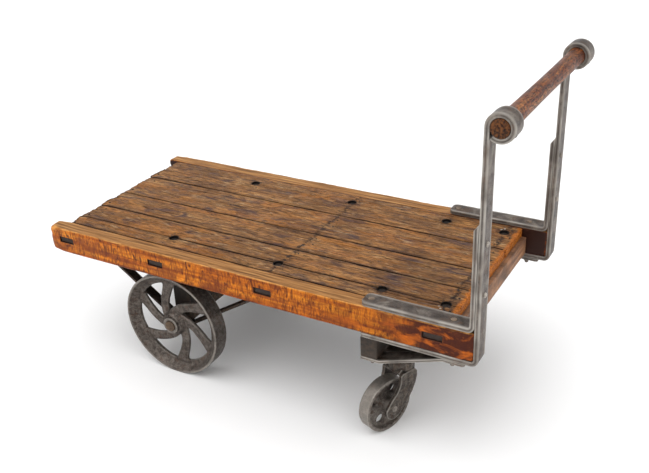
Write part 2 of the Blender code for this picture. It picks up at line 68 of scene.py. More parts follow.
# Places read from the frame
SILL_LOW, SILL_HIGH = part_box("side_sill_left")
START_X, SILL_INNER, SILL_BOTTOM = SILL_LOW
END_X, SILL_OUTER, DECK_TOP = SILL_HIGH
STRAP_LOW, STRAP_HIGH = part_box("handle_upright_left")
BRACKET_LOW, BRACKET_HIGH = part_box("handle_bracket_left")
BRACE_LOW, BRACE_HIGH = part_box("caster_brace_left")
STAY_LOW, STAY_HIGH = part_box("axle_stay_left")
BOLSTER_LOW, BOLSTER_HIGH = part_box("caster_bolster")
WHEEL_LOW, WHEEL_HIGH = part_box("wheel_right")
AXLE_LOW, AXLE_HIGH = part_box("axle")
GRIP_LOW, GRIP_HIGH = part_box("handle_grip")
PLATE_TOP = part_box("caster_plate_left")[1].z

# Flat bars and the gap between touching pieces
GAP = 0.0003
STRAP = 0.012
BEND = 0.012
STAY = 0.008
BRACKET_SLANT = 0.014
BAR_EDGE = 0.0016

# Places along the truck, each measured from its free end
MEMBER_CENTRES = [START_X + x for x in (0.064, 0.393, 0.745, 1.218)]
DECK_BOLTS = [START_X + x for x in (0.391, 0.738, 1.043, 1.214)]
STRAP_BOLTS = [START_X + x for x in (1.050, 1.262)]
STAY_BOLTS = [START_X + x for x in (0.078, 0.752)]
STAY_FEET = [START_X + x for x in (0.112, 0.722)]
PLATE_BOLTS = [START_X + x for x in (1.043, 1.111)]
BRACE_TOP = START_X + 1.245

# Places across it from its middle, and above the floor
DECK_BOLT_Y = 0.2105
STAY_BOLT_Y = 0.218
PLATE_BOLT_Y = (0.155, DECK_BOLT_Y)
FACE_RIVETS = (0.498, 0.626)

# Sizes of timbers, wheels and casters, and the turn of the first web hole in degrees
DECK_BOLT_RADIUS = 0.0125
RECESS = 0.006
TENON_HALF = 0.025
TENON_HEIGHTS = (0.359, 0.375)
TREAD = 0.053
BORE = 0.0165
WHEEL_MIDDLE = 0.2635
HUB_INNER = 0.2425
SPOKES = 6
CASTER_RADIUS = 0.0765
CASTER_TREAD = 0.0345
CASTER_HUB = 0.049
FORK_OUTSIDE = 0.037
FORK_VOXEL = 0.0012
WEB_HOLE_CIRCLE = 0.0447
WEB_HOLE_START = 61.5
CAST_LUMP = 0.00022

# Where the camera stands, and its turn in degrees
CAMERA_PLACE = (1.1819, -1.9025, 1.5152)
CAMERA_TURN = (62.945, 2.158, 29.289)


def linear(colour):
    """An sRGB hex code as linear RGB and alpha; a plain number is a grey, linear already, as masks need."""
    if isinstance(colour, str):
        parts = [int(colour[i:i + 2], 16) / 255 for i in (0, 2, 4)]
        parts = [part / 12.92 if part <= 0.04045 else ((part + 0.055) / 1.055) ** 2.4 for part in parts]
        return (*parts, 1.0)
    return (colour, colour, colour, 1.0) if isinstance(colour, (int, float)) else colour


COLOUR = {"subtype": "COLOR", "size": 4}
LENGTH = {"subtype": "DISTANCE", "unit": "LENGTH"}


class TruckTimber(bpy.types.PropertyGroup):
    board_light: FloatVectorProperty(
        name="Board light", description="Bare, rubbed wood on the deck", default=linear("c89c66"), **COLOUR)
    board_dark: FloatVectorProperty(
        name="Board dark", description="Grain and dirt on the deck", default=linear("4a3120"), **COLOUR)
    sill_light: FloatVectorProperty(
        name="Sill light", description="Amber varnish over clear wood", default=linear("e48c1e"), **COLOUR)
    sill_dark: FloatVectorProperty(
        name="Sill dark", description="Dark bars under the varnish", default=linear("4a1c08"), **COLOUR)
    relief: FloatProperty(
        name="Grain relief", description="Depth of the grain", default=0.0006, min=0.0, max=0.003, **LENGTH)
    arris: FloatProperty(
        name="Arris", description="Rounding of worn edges", default=0.0034, min=0.0005, max=0.008, **LENGTH)


class TruckIron(bpy.types.PropertyGroup):
    bar_colour: FloatVectorProperty(
        name="Bar", description="Flat bars of the handle", default=linear("5b524c"), **COLOUR)
    voxel: FloatProperty(
        name="Casting grain", description="Their mesh size", default=0.0017, min=0.001, max=0.004, **LENGTH)


class TruckStage(bpy.types.PropertyGroup):
    floor_colour: FloatVectorProperty(
        name="Floor", description="Plain pale floor", default=linear(0.92), **COLOUR)
    sky: FloatProperty(
        name="Soft light", description="Strength of the even light from all round", default=1.0, min=0.0)
    key: FloatProperty(
        name="Key light", description="Strength of the broad overhead light", default=1.1, min=0.0)
    focal: FloatProperty(
        name="Focal length", description="Lens of the camera", default=48.61, min=10.0, max=200.0,
        subtype="DISTANCE_CAMERA")


# ---------------------------------------------------------------- shading

def add_node(tree, kind, inputs=None, out=0, stops=(), **settings):
    """Add one node with its settings, its values and links, and any ramp stops; give back one output."""
    made = tree.nodes.new(kind)
    for key, value in settings.items():
        setattr(made, key, value)
    for key, value in (inputs or {}).items():
        if isinstance(value, bpy.types.NodeSocket):
            tree.links.new(value, made.inputs[key])
        else:
            made.inputs[key].default_value = value
    for number, (place, colour) in enumerate(stops):
        ramp = made.color_ramp.elements
        element = ramp[number] if number < 2 else ramp.new(place)
        element.position = place
        element.color = linear(colour)
    return made.outputs[out]


def new_material(name):
    material = bpy.data.materials.new(name)
    material.use_nodes = True
    return material, material.node_tree


def patches(tree, size, stops, detail=5.0, swirl=0.0, shift=(0.0, 0.0, 0.0)):
    """Noise on the object's own coordinates, in patches of a size in mm along each axis, through a ramp."""
    coords = add_node(tree, "ShaderNodeTexCoord", out="Object")
    placed = add_node(tree, "ShaderNodeMapping", {"Vector": coords, "Location": shift,
                                                  "Scale": [1000 / length for length in size]})
    noise = add_node(tree, "ShaderNodeTexNoise", {"Vector": placed, "Scale": 1.0, "Detail": detail,
                                                  "Roughness": 0.62, "Distortion": swirl})
    return add_node(tree, "ShaderNodeValToRGB", {"Fac": noise}, stops=stops)


def as_mask(tree, mask):
    """A mask from a mark on the mesh by its name, from two masks multiplied, or as it comes."""
    if isinstance(mask, str):
        return add_node(tree, "ShaderNodeAttribute", out="Fac", attribute_name=mask)
    if isinstance(mask, tuple):
        first, second = (as_mask(tree, part) for part in mask)
        return add_node(tree, "ShaderNodeMath", {0: first, 1: second}, operation="MULTIPLY")
    return mask


def stained(tree, colour, layers):
    """Lay tints over a colour, one after another, each through its mask."""
    for mask, tint in layers:
        inputs = {0: as_mask(tree, mask), 6: linear(colour), 7: linear(tint)}
        colour = add_node(tree, "ShaderNodeMix", inputs, out=2, data_type="RGBA")
    return colour


def dressed(tree, colour, roughness, pits, depth, sockets=None):
    """Join a finish to its shader: its relief follows its light and dark, less its pits."""
    shader = tree.nodes["Principled BSDF"]
    relief = add_node(tree, "ShaderNodeMath", {0: colour, 1: pits}, operation="SUBTRACT")
    normal = add_node(tree, "ShaderNodeBump", {"Height": relief, "Distance": depth})
    for key, source in (("Base Color", colour), ("Roughness", roughness), ("Normal", normal)):
        tree.links.new(source, shader.inputs[key])
    for key, value in (sockets or {}).items():
        shader.inputs[key].default_value = value


# ---------------------------------------------------------------- materials

def weathered_board(name, index):
    """Old oiled hardwood worn by freight: open dark grain, blue-black iron stains, a soft rubbed sheen."""
    timber = bpy.context.scene.truck_timber
    material, tree = new_material(name)
    own = (0.37 * index, 1.71 * index, 0.0)
    grain = [(0.32, timber.board_dark), (0.43, "855932"), (0.54, "b07d49"), (0.68, timber.board_light)]
    colour = patches(tree, (150, 5.5, 5.5), grain, 7.0, 0.4, own)
    # growth rings crop out as thin lines that wander along the board
    rings = [(0.34, 0), (0.37, 0.5), (0.39, 0), (0.44, 0.4), (0.47, 0), (0.51, 0.5), (0.53, 0), (0.58, 0.4),
             (0.61, 0), (0.65, 0.5), (0.68, 0)]
    rings = patches(tree, (430, 62, 62), rings, 3.5, 0.8, own)
    tone = patches(tree, (210, 85, 85), [(0.44, 0), (0.66, 0.75)], 5.0, 0.8, (2.0, 0.6 * index, 1.0))
    warm = patches(tree, (260, 60, 60), [(0.48, 0), (0.64, 0.55)], 4.0, 0.2, (index, 5.0, 0.0))
    stain = patches(tree, (95, 34, 34), [(0.52, 0), (0.62, 0.55), (0.72, 0.9)], 6.0, 0.9, (9 + index, 3, 0))
    scuffs = patches(tree, (55, 14, 14), [(0.58, 0), (0.70, 0.5)], 5.0, 0.6, (4.0, index, 2.0))
    pores = patches(tree, (26, 2.1, 2.1), [(0.52, 0), (0.64, 0.85)], 5.0, 0.2, own)
    checks = [(0.476, 0), (0.490, 0.85), (0.504, 0), (0.585, 0), (0.596, 0.8), (0.607, 0)]
    checks = patches(tree, (130, 8, 8), checks, 4.0, 0.5, (3.0, 1.3 * index, 0.0))
    spots = patches(tree, (12, 7, 7), [(0.64, 0), (0.71, 0.8)], 5.0, 0.5, (8.0, index, 5.0))
    rust = patches(tree, (13, 13, 13), [(0.42, 0), (0.60, 1)], 5.0, 0.4)
    raw_end = patches(tree, (8, 3, 3), [(0.36, "6b3212"), (0.60, "c8772b")], 5.0)
    colour = stained(tree, colour, [
        (tone, "5f4129"), (rings, "5f3e26"), (warm, "b06f30"), (stain, "42343a"), (scuffs, "d0ad80"),
        (pores, "241711"), (checks, "2c1c12"), (spots, "2b2223"), (("nail_line", rust), "221713"),
        # the first tint below is near-black painted shade on the board's sides, free end and underside, and
        # along its long top edges
        # the last tint below is near-black painted shade in and round the bolt recesses
        ("seam_and_side_shade", "1a110c"), ("end_grain", raw_end), ("bolt_recess_shade", "15100e")])
    roughness = patches(tree, (120, 22, 22), [(0.35, 0.66), (0.65, 0.46)], 4.0, 0.2, own)
    dressed(tree, colour, roughness, pores, 0.0012, {"Specular IOR Level": 0.14})
    return material


def varnished_sill(name):
    """Figured hardwood under old amber varnish: glossy, barred across the grain, bare and brown on top."""
    timber = bpy.context.scene.truck_timber
    material, tree = new_material(name)
    grain = [(0.34, "94480c"), (0.50, "c86c10"), (0.66, timber.sill_light)]
    colour = patches(tree, (230, 10, 10), grain, 6.0, 0.3)
    bars = patches(tree, (12, 85, 42), [(0.45, 0), (0.55, 0.5), (0.66, 0.95)], 6.0, 1.8)
    fiddle = patches(tree, (4.5, 60, 34), [(0.46, 0), (0.62, 0.45)], 4.0, 0.8, (1.0, 0.0, 3.0))
    blotch = patches(tree, (75, 60, 42), [(0.46, 0), (0.60, 0.62), (0.70, 0.85)], 6.0, 0.7, (2.0, 0.0, 1.0))
    flame = patches(tree, (64, 64, 26), [(0.46, 0), (0.58, 0.5), (0.70, 1)], 7.0, 0.7, (0.0, 3.0, 6.0))
    patchy = patches(tree, (30, 10, 10), [(0.40, 0.15), (0.60, 0.85)], 5.0, 0.5, (7.0, 1.0, 0.0))
    brown = patches(tree, (150, 6, 6), [(0.34, "583a20"), (0.52, "98693a"), (0.68, "bd9058")], 7.0, 0.3)
    scars = patches(tree, (38, 5, 5), [(0.60, 0), (0.68, 0.85)], 6.0, 1.0, (4.0, 7.0, 1.0))
    scars = as_mask(tree, (scars, "worn"))
    colour = stained(tree, colour, [
        (fiddle, "8a3f0e"), (bars, timber.sill_dark), (blotch, "6f3110"), ("burnt_and_dark_bottom", "3c1408"),
        (("burnt_and_dark_bottom", flame), "dd6f14"), ("bare", brown), (("worn", patchy), "d39650"), (scars, "2a130a"),
        # near-black painted shade on the inward faces and in the mortises
        ("inner", "2b1711")])
    roughness = stained(tree, 0.34, [("bare", 0.56)])
    dressed(tree, colour, roughness, scars, 0.0008,
            {"Specular IOR Level": 0.12, "Coat Weight": 0.06, "Coat Roughness": 0.20})
    return material


def rough_timber(name, dark, light):
    """Sawn frame timber, dark with age and oil, its saw marks still showing."""
    material, tree = new_material(name)
    colour = patches(tree, (14, 190, 11), [(0.36, dark), (0.64, light)], 6.0, 0.3)
    saw = patches(tree, (34, 4, 50), [(0.45, 0), (0.65, 0.5)], 3.0, 0.2)
    grime = patches(tree, (70, 90, 60), [(0.44, 0), (0.66, 0.7)], 5.0, 0.4, (2.0, 4.0, 0.0))
    # The tenon tint is darker end grain and painted shade of the mortise round it.
    colour = stained(tree, colour, [(saw, dark), (grime, "211812"), ("tenon", "2a1a11")])
    roughness = patches(tree, (60, 60, 60), [(0.35, 0.78), (0.65, 0.62)])
    dressed(tree, colour, roughness, saw, 0.0012)
    return material


def handled_grip(name):
    """A hardwood dowel rubbed smooth by hands: red-brown, flecked with dark pores, satin."""
    material, tree = new_material(name)
    colour = patches(tree, (9, 110, 9), [(0.34, "431e0e"), (0.50, "84431e"), (0.66, "b97a3f")], 6.0, 0.6)
    flecks = patches(tree, (3.0, 14, 3.0), [(0.49, 0), (0.58, 0.9)], 4.0)
    curls = patches(tree, (16, 6, 16), [(0.46, 0), (0.56, 0.55)], 3.0, 1.5, (5.0, 2.0, 0.0))
    ends = patches(tree, (4, 4, 4), [(0.38, "1e0f07"), (0.60, "71431f")], 5.0)
    grime = patches(tree, (40, 60, 40), [(0.48, 0), (0.64, 0.6)], 5.0, 0.5)
    colour = stained(tree, colour, [(grime, "6b3c24"), (curls, "3d1c10"), (flecks, "24110a"),
                                    ("end_grain", ends)])
    roughness = patches(tree, (30, 50, 30), [(0.35, 0.50), (0.65, 0.36)])
    dressed(tree, colour, roughness, flecks, 0.0006, {"Specular IOR Level": 0.20})
    return material


def wrought_bar(name):
    """Hot-rolled flat bar under old wax: mid grey-brown with rust and scale, bright along its arrises."""
    material, tree = new_material(name)
    middle = bpy.context.scene.truck_iron.bar_colour
    colour = patches(tree, (38, 38, 60), [(0.36, "3b342f"), (0.52, middle), (0.68, "82796f")], 6.0, 0.5)
    rust = patches(tree, (26, 26, 44), [(0.52, 0), (0.66, 0.6)], 6.0, 0.6, (3.0, 1.0, 2.0))
    scale = patches(tree, (5, 5, 5), [(0.56, 0), (0.66, 0.7)], 4.0, 0.3, (1.0, 8.0, 0.0))
    colour = stained(tree, colour, [(rust, "5f4531"), (scale, "332c28"), ("worn", "aaa49c")])
    roughness = patches(tree, (20, 20, 20), [(0.35, 0.56), (0.65, 0.40)])
    dressed(tree, colour, roughness, scale, 0.0006, {"Metallic": 0.7})
    return material


def sand_casting(name, dark, middle, light):
    """Sand-cast grey iron: a pitted, grainy skin, dark with old paint and oil, lighter on rubbed edges."""
    material, tree = new_material(name)
    colour = patches(tree, (11, 11, 11), [(0.36, dark), (0.50, middle), (0.66, light)], 7.0, 0.4)
    rust = patches(tree, (16, 16, 16), [(0.52, 0), (0.66, 0.5)], 6.0, 0.6, (6.0, 2.0, 4.0))
    pits = patches(tree, (2.8, 2.8, 2.8), [(0.54, 0), (0.64, 0.8)], 4.0, 0.2, (1.0, 8.0, 0.0))
    # Near-black in the hollows that edge_wear marks.
    colour = stained(tree, colour, [(rust, "54392a"), (pits, "2a2420"), ("hollow", "1d1815"),
                                    ("worn", "a8a29a")])
    roughness = patches(tree, (7, 7, 7), [(0.35, 0.56), (0.65, 0.34)])
    dressed(tree, colour, roughness, pits, 0.0009, {"Metallic": 0.8})
    return material


def rusted_bar(name, dark, light):
    """Bare black iron that has browned: axle ends, stays, nuts and bolt heads."""
    material, tree = new_material(name)
    colour = patches(tree, (16, 16, 16), [(0.36, dark), (0.66, light)], 6.0, 0.5)
    pits = patches(tree, (2.6, 2.6, 2.6), [(0.54, 0), (0.66, 0.7)], 4.0)
    colour = stained(tree, colour, [(pits, "1c1613")])
    roughness = patches(tree, (8, 8, 8), [(0.35, 0.68), (0.65, 0.50)])
    dressed(tree, colour, roughness, pits, 0.0005, {"Metallic": 0.5})
    return material


# ---------------------------------------------------------------- mesh helpers

def noise_at(points, size, seed):
    """Smooth noise from -1 to 1 at each point, with features of a size in metres, the same on every run."""
    points = points / np.array(size)
    cell = np.floor(points).astype(np.int64)
    part = points - cell
    part = part * part * (3 - 2 * part)
    total = np.zeros(len(points))
    for corner in range(8):
        step = np.array([(corner >> k) & 1 for k in range(3)])
        at = cell + step
        mixed = (at[:, 0] * 73856093) ^ (at[:, 1] * 19349663) ^ (at[:, 2] * 83492791) ^ (seed * 7919)
        mixed = (mixed ^ (mixed >> 13)) * 1274126177 & 0x7FFFFFFF
        value = ((mixed ^ (mixed >> 16)) & 0xFFFF) / 32767.5 - 1
        total += value * np.prod(np.where(step == 1, part, 1 - part), axis=1)
    return total


def eased(value, low, high):
    part = np.clip((value - low) / (high - low), 0, 1)
    return part * part * (3 - 2 * part)


def grid_lines(low, high, edge, step):
    """Grid lines across a timber: close together near both arrises, even between."""
    near = np.array([0.0, 0.4, 0.9]) * edge
    inner_low, inner_high = low + 1.6 * edge, high - 1.6 * edge
    count = max(1, round((inner_high - inner_low) / step))
    return np.concatenate([low + near, np.linspace(inner_low, inner_high, count + 1), (high - near)[::-1]])


def surface_grid(xs, ys, zs):
    """The skin of a box as grid points and outward quads."""
    shape = (len(xs), len(ys), len(zs))
    grid = np.stack(np.meshgrid(xs, ys, zs, indexing="ij"), -1)
    skin = np.ones(shape, bool)
    skin[1:-1, 1:-1, 1:-1] = False
    number = np.full(shape, -1)
    number[skin] = np.arange(skin.sum())
    faces = []
    sheets = ((number[:, :, -1], False), (number[:, :, 0], True), (number[:, 0, :], False),
              (number[:, -1, :], True), (number[0, :, :], True), (number[-1, :, :], False))
    for sheet, flip in sheets:
        quads = np.stack([sheet[:-1, :-1], sheet[1:, :-1], sheet[1:, 1:], sheet[:-1, 1:]], -1).reshape(-1, 4)
        faces.append(quads[:, ::-1] if flip else quads)
    return grid[skin], np.concatenate(faces)


def rounded(points, low, high, radius):
    """Round the edges of a box's skin by a radius given for each point; also the outward directions."""
    radius = np.broadcast_to(radius, len(points))[:, None]
    core = np.clip(points, np.array(low) + radius, np.array(high) - radius)
    away = points - core
    outward = away / np.linalg.norm(away, axis=1, keepdims=True)
    return core + outward * radius, outward


def add_object(name, data):
    obj = bpy.data.objects.new(name, data)
    bpy.context.scene.collection.objects.link(obj)
    return obj


def discard(objects):
    for obj in objects:
        bpy.data.objects.remove(obj, do_unlink=True)


def read_vertices(mesh, key="co"):
    values = np.zeros(len(mesh.vertices) * 3)
    mesh.vertices.foreach_get(key, values)
    return values.reshape(-1, 3)


def mark(mesh, key, values):
    """Write a value for each vertex, for its material to read; a greater value that is there stays."""
    layer = mesh.attributes.get(key) or mesh.attributes.new(key, "FLOAT", "POINT")
    before = np.zeros(len(mesh.vertices), np.float32)
    layer.data.foreach_get("value", before)
    layer.data.foreach_set("value", np.maximum(before, np.asarray(values, np.float32)))


def mesh_object(name, points, faces, marks=None, recalc=False):
    """An object at the origin from points and faces, with the values that its material reads."""
    mesh = bpy.data.meshes.new(name)
    mesh.from_pydata(np.asarray(points).tolist(), [], [list(map(int, face)) for face in faces])
    for key, values in (marks or {}).items():
        mark(mesh, key, values)
    if recalc:
        bm = bmesh.new()
        bm.from_mesh(mesh)
        bmesh.ops.recalc_face_normals(bm, faces=bm.faces)
        bm.to_mesh(mesh)
        bm.free()
    mesh.shade_smooth()
    return add_object(name, mesh)


def add_modifier(obj, kind, **settings):
    modifier = obj.modifiers.new(kind.lower(), kind)
    for key, value in settings.items():
        setattr(modifier, key, value)
    return modifier


def apply_modifiers(obj):
    """Turn an object's evaluated shape into its plain mesh."""
    bpy.context.view_layer.update()
    evaluated = obj.evaluated_get(bpy.context.evaluated_depsgraph_get())
    mesh = bpy.data.meshes.new_from_object(evaluated)
    obj.modifiers.clear()
    obj.data = mesh


def cut(obj, cutters):
    """Cut closed cutters out of an object and remove them."""
    for cutter in cutters:
        add_modifier(obj, "BOOLEAN", object=cutter, operation="DIFFERENCE", solver="EXACT")
    apply_modifiers(obj)
    discard(cutters)


def join(name, objects):
    """Join several objects' meshes into one object."""
    bm = bmesh.new()
    for obj in objects:
        bm.from_mesh(obj.data)
    discard(objects)
    mesh = bpy.data.meshes.new(name)
    bm.to_mesh(mesh)
    bm.free()
    mesh.shade_smooth()
    return add_object(name, mesh)


def turned(obj, matrix):
    """Move an object's mesh, and keep its faces outward when the move mirrors it."""
    obj.data.transform(matrix)
    if matrix.determinant() < 0:
        obj.data.flip_normals()
    return obj


def copied(obj, name, matrix):
    return turned(add_object(name, obj.data.copy()), matrix)


def round_steps(count):
    """Even steps round a circle, as (cosine, sine)."""
    return [(math.cos(2 * math.pi * k / count), math.sin(2 * math.pi * k / count)) for k in range(count)]


def loft(rings, around, closed=False):
    """Faces between rings of points that follow one another, in a closed loop or capped at both ends."""
    faces = []
    for ring in range(rings if closed else rings - 1):
        here, there = ring * around, (ring + 1) % rings * around
        for k in range(around):
            j = (k + 1) % around
            faces.append((here + k, here + j, there + j, there + k))
    if not closed:
        faces += [tuple(reversed(range(around))), tuple(range((rings - 1) * around, rings * around))]
    return faces


def round_bar(name, stations, segments, direction=(0, 0, 1), centre=(0, 0, 0)):
    """A turned solid about any axis; stations are (distance along, radius), closed at both ends."""
    aim = Vector(direction).normalized().to_track_quat("Z", "Y").to_matrix()
    points = [Vector(centre) + aim @ Vector((radius * c, radius * s, along))
              for along, radius in stations for c, s in round_steps(segments)]
    return mesh_object(name, [tuple(point) for point in points], loft(len(stations), segments))


def turned_ring(name, profile, segments):
    """A ring turned about the Y axis from a closed (radius, y) outline."""
    points = [(r * c, y, r * s) for c, s in round_steps(segments) for r, y in profile]
    return mesh_object(name, points, loft(segments, len(profile), closed=True), recalc=True)


def block_at(name, low, high):
    return mesh_object(name, *surface_grid(*(np.array(pair) for pair in zip(low, high))))


def cast_skin(obj, voxel, keep, seed):
    """Fuse overlapping shapes as a casting does: one skin with soft fillets, slightly lumpy."""
    add_modifier(obj, "REMESH", mode="VOXEL", voxel_size=voxel, use_smooth_shade=True)
    add_modifier(obj, "SMOOTH", factor=0.5, iterations=3)
    add_modifier(obj, "DECIMATE", ratio=keep)
    apply_modifiers(obj)
    mesh = obj.data
    points = read_vertices(mesh)
    rough = noise_at(points, 0.012, seed) + 0.5 * noise_at(points, 0.004, seed + 1)
    points = points + read_vertices(mesh, "normal") * (rough * CAST_LUMP)[:, None]
    mesh.vertices.foreach_set("co", points.ravel())
    mesh.shade_smooth()
    mesh.update()


def edge_wear(obj):
    """Mark a casting's outward edges, which rubbing has brightened, and its hollows, which are darkened."""
    bm = bmesh.new()
    bm.from_mesh(obj.data)
    values = np.zeros(len(bm.verts), np.float32)
    for i, vert in enumerate(bm.verts):
        angles = [edge.calc_face_angle_signed(0.0) for edge in vert.link_edges if len(edge.link_faces) == 2]
        values[i] = sum(angles) / max(1, len(angles))
    pairs = np.array([(e.verts[0].index, e.verts[1].index) for e in bm.edges])
    bm.free()
    for _ in range(3):
        total, count = values.copy(), np.ones(len(values), np.float32)
        for here, there in (pairs.T, pairs.T[::-1]):
            np.add.at(total, here, values[there])
            np.add.at(count, here, 1)
        values = total / count
    top = max(1e-6, float(np.percentile(values, 98)))
    mark(obj.data, "worn", np.clip((values / top - 0.25) * 0.8, 0, 0.9))
    mark(obj.data, "hollow", np.clip((-values / top - 0.10) * 1.1, 0, 0.9))
    return obj


def sharpened(obj, degrees):
    """Keep edges crisp where faces meet at more than an angle."""
    obj.data.set_sharp_from_angle(angle=math.radians(degrees))


def finish_piece(obj, material, body, nodes=()):
    """Give a piece its material, its body and the frame pieces that it stands for."""
    obj.data.materials.clear()
    obj.data.materials.append(material)
    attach(obj, body)
    if nodes:
        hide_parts(*nodes)


# ---------------------------------------------------------------- flat bars

def resample(path, step):
    """Points along straight runs no further apart than a step; corners and arcs keep their points."""
    points = [Vector(path[0])]
    for target in path[1:]:
        start, target = points[-1], Vector(target)
        count = max(1, round((target - start).length / step))
        points += [start.lerp(target, i / count) for i in range(1, count + 1)]
    return points


def arc(centre, radius, start, end, steps):
    angles = [start + (end - start) * i / steps for i in range(steps + 1)]
    return [(centre[0] + radius * math.cos(angle), centre[1] + radius * math.sin(angle)) for angle in angles]


def bar_section(half_thick, half_wide):
    """A rounded rectangle as (across the thickness, across the width, corner or not) points."""
    points = []
    for turn, (sign_t, sign_w) in enumerate(((1, 1), (-1, 1), (-1, -1), (1, -1))):
        corner = arc((sign_t * (half_thick - BAR_EDGE), sign_w * (half_wide - BAR_EDGE)), BAR_EDGE,
                     math.pi / 2 * turn, math.pi / 2 * (turn + 1), 3)
        points += [(t, w, 1.0) for t, w in corner]
        t, w = corner[-1]
        straight = 5 if turn % 2 else 1
        for k in range(1, straight + 1):
            back = 1 - 2 * k / (straight + 1)
            points.append((t, w * back, 0.0) if turn % 2 else (t * back, w, 0.0))
    return points


def drawn_in(distance, radius):
    """How far a rounded corner stands in from the side, at a distance from the end."""
    return radius - math.sqrt(max(0.0, radius ** 2 - max(0.0, radius - distance) ** 2))


def flat_bar(name, path, thickness, node, material, seed, corners=(0.0, 0.0), slant=0.0):
    """A rolled bar that stands for a frame piece, bent along an (x, z) path, with rounded arrises."""
    low_y, high_y = (corner.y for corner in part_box(node))
    line = resample(path, 0.008)
    lengths = np.concatenate([[0.0], np.cumsum([(b - a).length for a, b in zip(line, line[1:])])])
    total = lengths[-1]
    near = [0.0005, 0.0015, 0.003, 0.006, 0.010]
    stops = near + [round(float(place), 6) for place in [*lengths, *(total - inward for inward in near)]]
    stops = sorted(set(stops))
    half_thick, half_wide = thickness / 2, (high_y - low_y) / 2
    section = bar_section(half_thick, half_wide)
    xs, zs = np.array([p.x for p in line]), np.array([p.y for p in line])
    points, worn = [], []
    for stop in stops:
        back, here, front = (Vector([np.interp(place, lengths, values) for values in (xs, zs)])
                             for place in (stop - 0.001, stop, stop + 0.001))
        along = (front - back).normalized()
        normal = Vector((-along.y, along.x))
        squeeze = max(drawn_in(stop, corners[0]), drawn_in(total - stop, corners[1]))
        ending = drawn_in(min(stop, total - stop), BAR_EDGE)
        tilt = slant * eased(stop, total - 0.02, total)
        for across, wide, rim in section:
            place = here + normal * (across * (half_thick - ending) / half_thick)
            place -= along * (tilt * (0.5 + across / thickness))
            beside = wide * (half_wide - squeeze - ending) / half_wide
            points.append((place.x, (low_y + high_y) / 2 + beside, place.y))
            worn.append(max(rim, min(1.0, ending / BAR_EDGE)))
    points = np.array(points)
    points = points + noise_at(points, 0.03, seed)[:, None] * 0.00025
    patch = 0.45 + 0.55 * np.clip(noise_at(points, 0.025, seed + 3) + 0.4, 0, 1)
    marks = {"worn": np.array(worn) * patch}
    obj = mesh_object(name, points, loft(len(stops), len(section)), marks, recalc=True)
    finish_piece(obj, material, "frame", [node])


# ---------------------------------------------------------------- timber pieces

def bolt_distance(points):
    """How far each point lies from the middle of the nearest deck bolt, seen from above."""
    beside = np.abs(points[:, 1]) - DECK_BOLT_Y
    return np.min([np.hypot(points[:, 0] - x, beside) for x in DECK_BOLTS], axis=0)


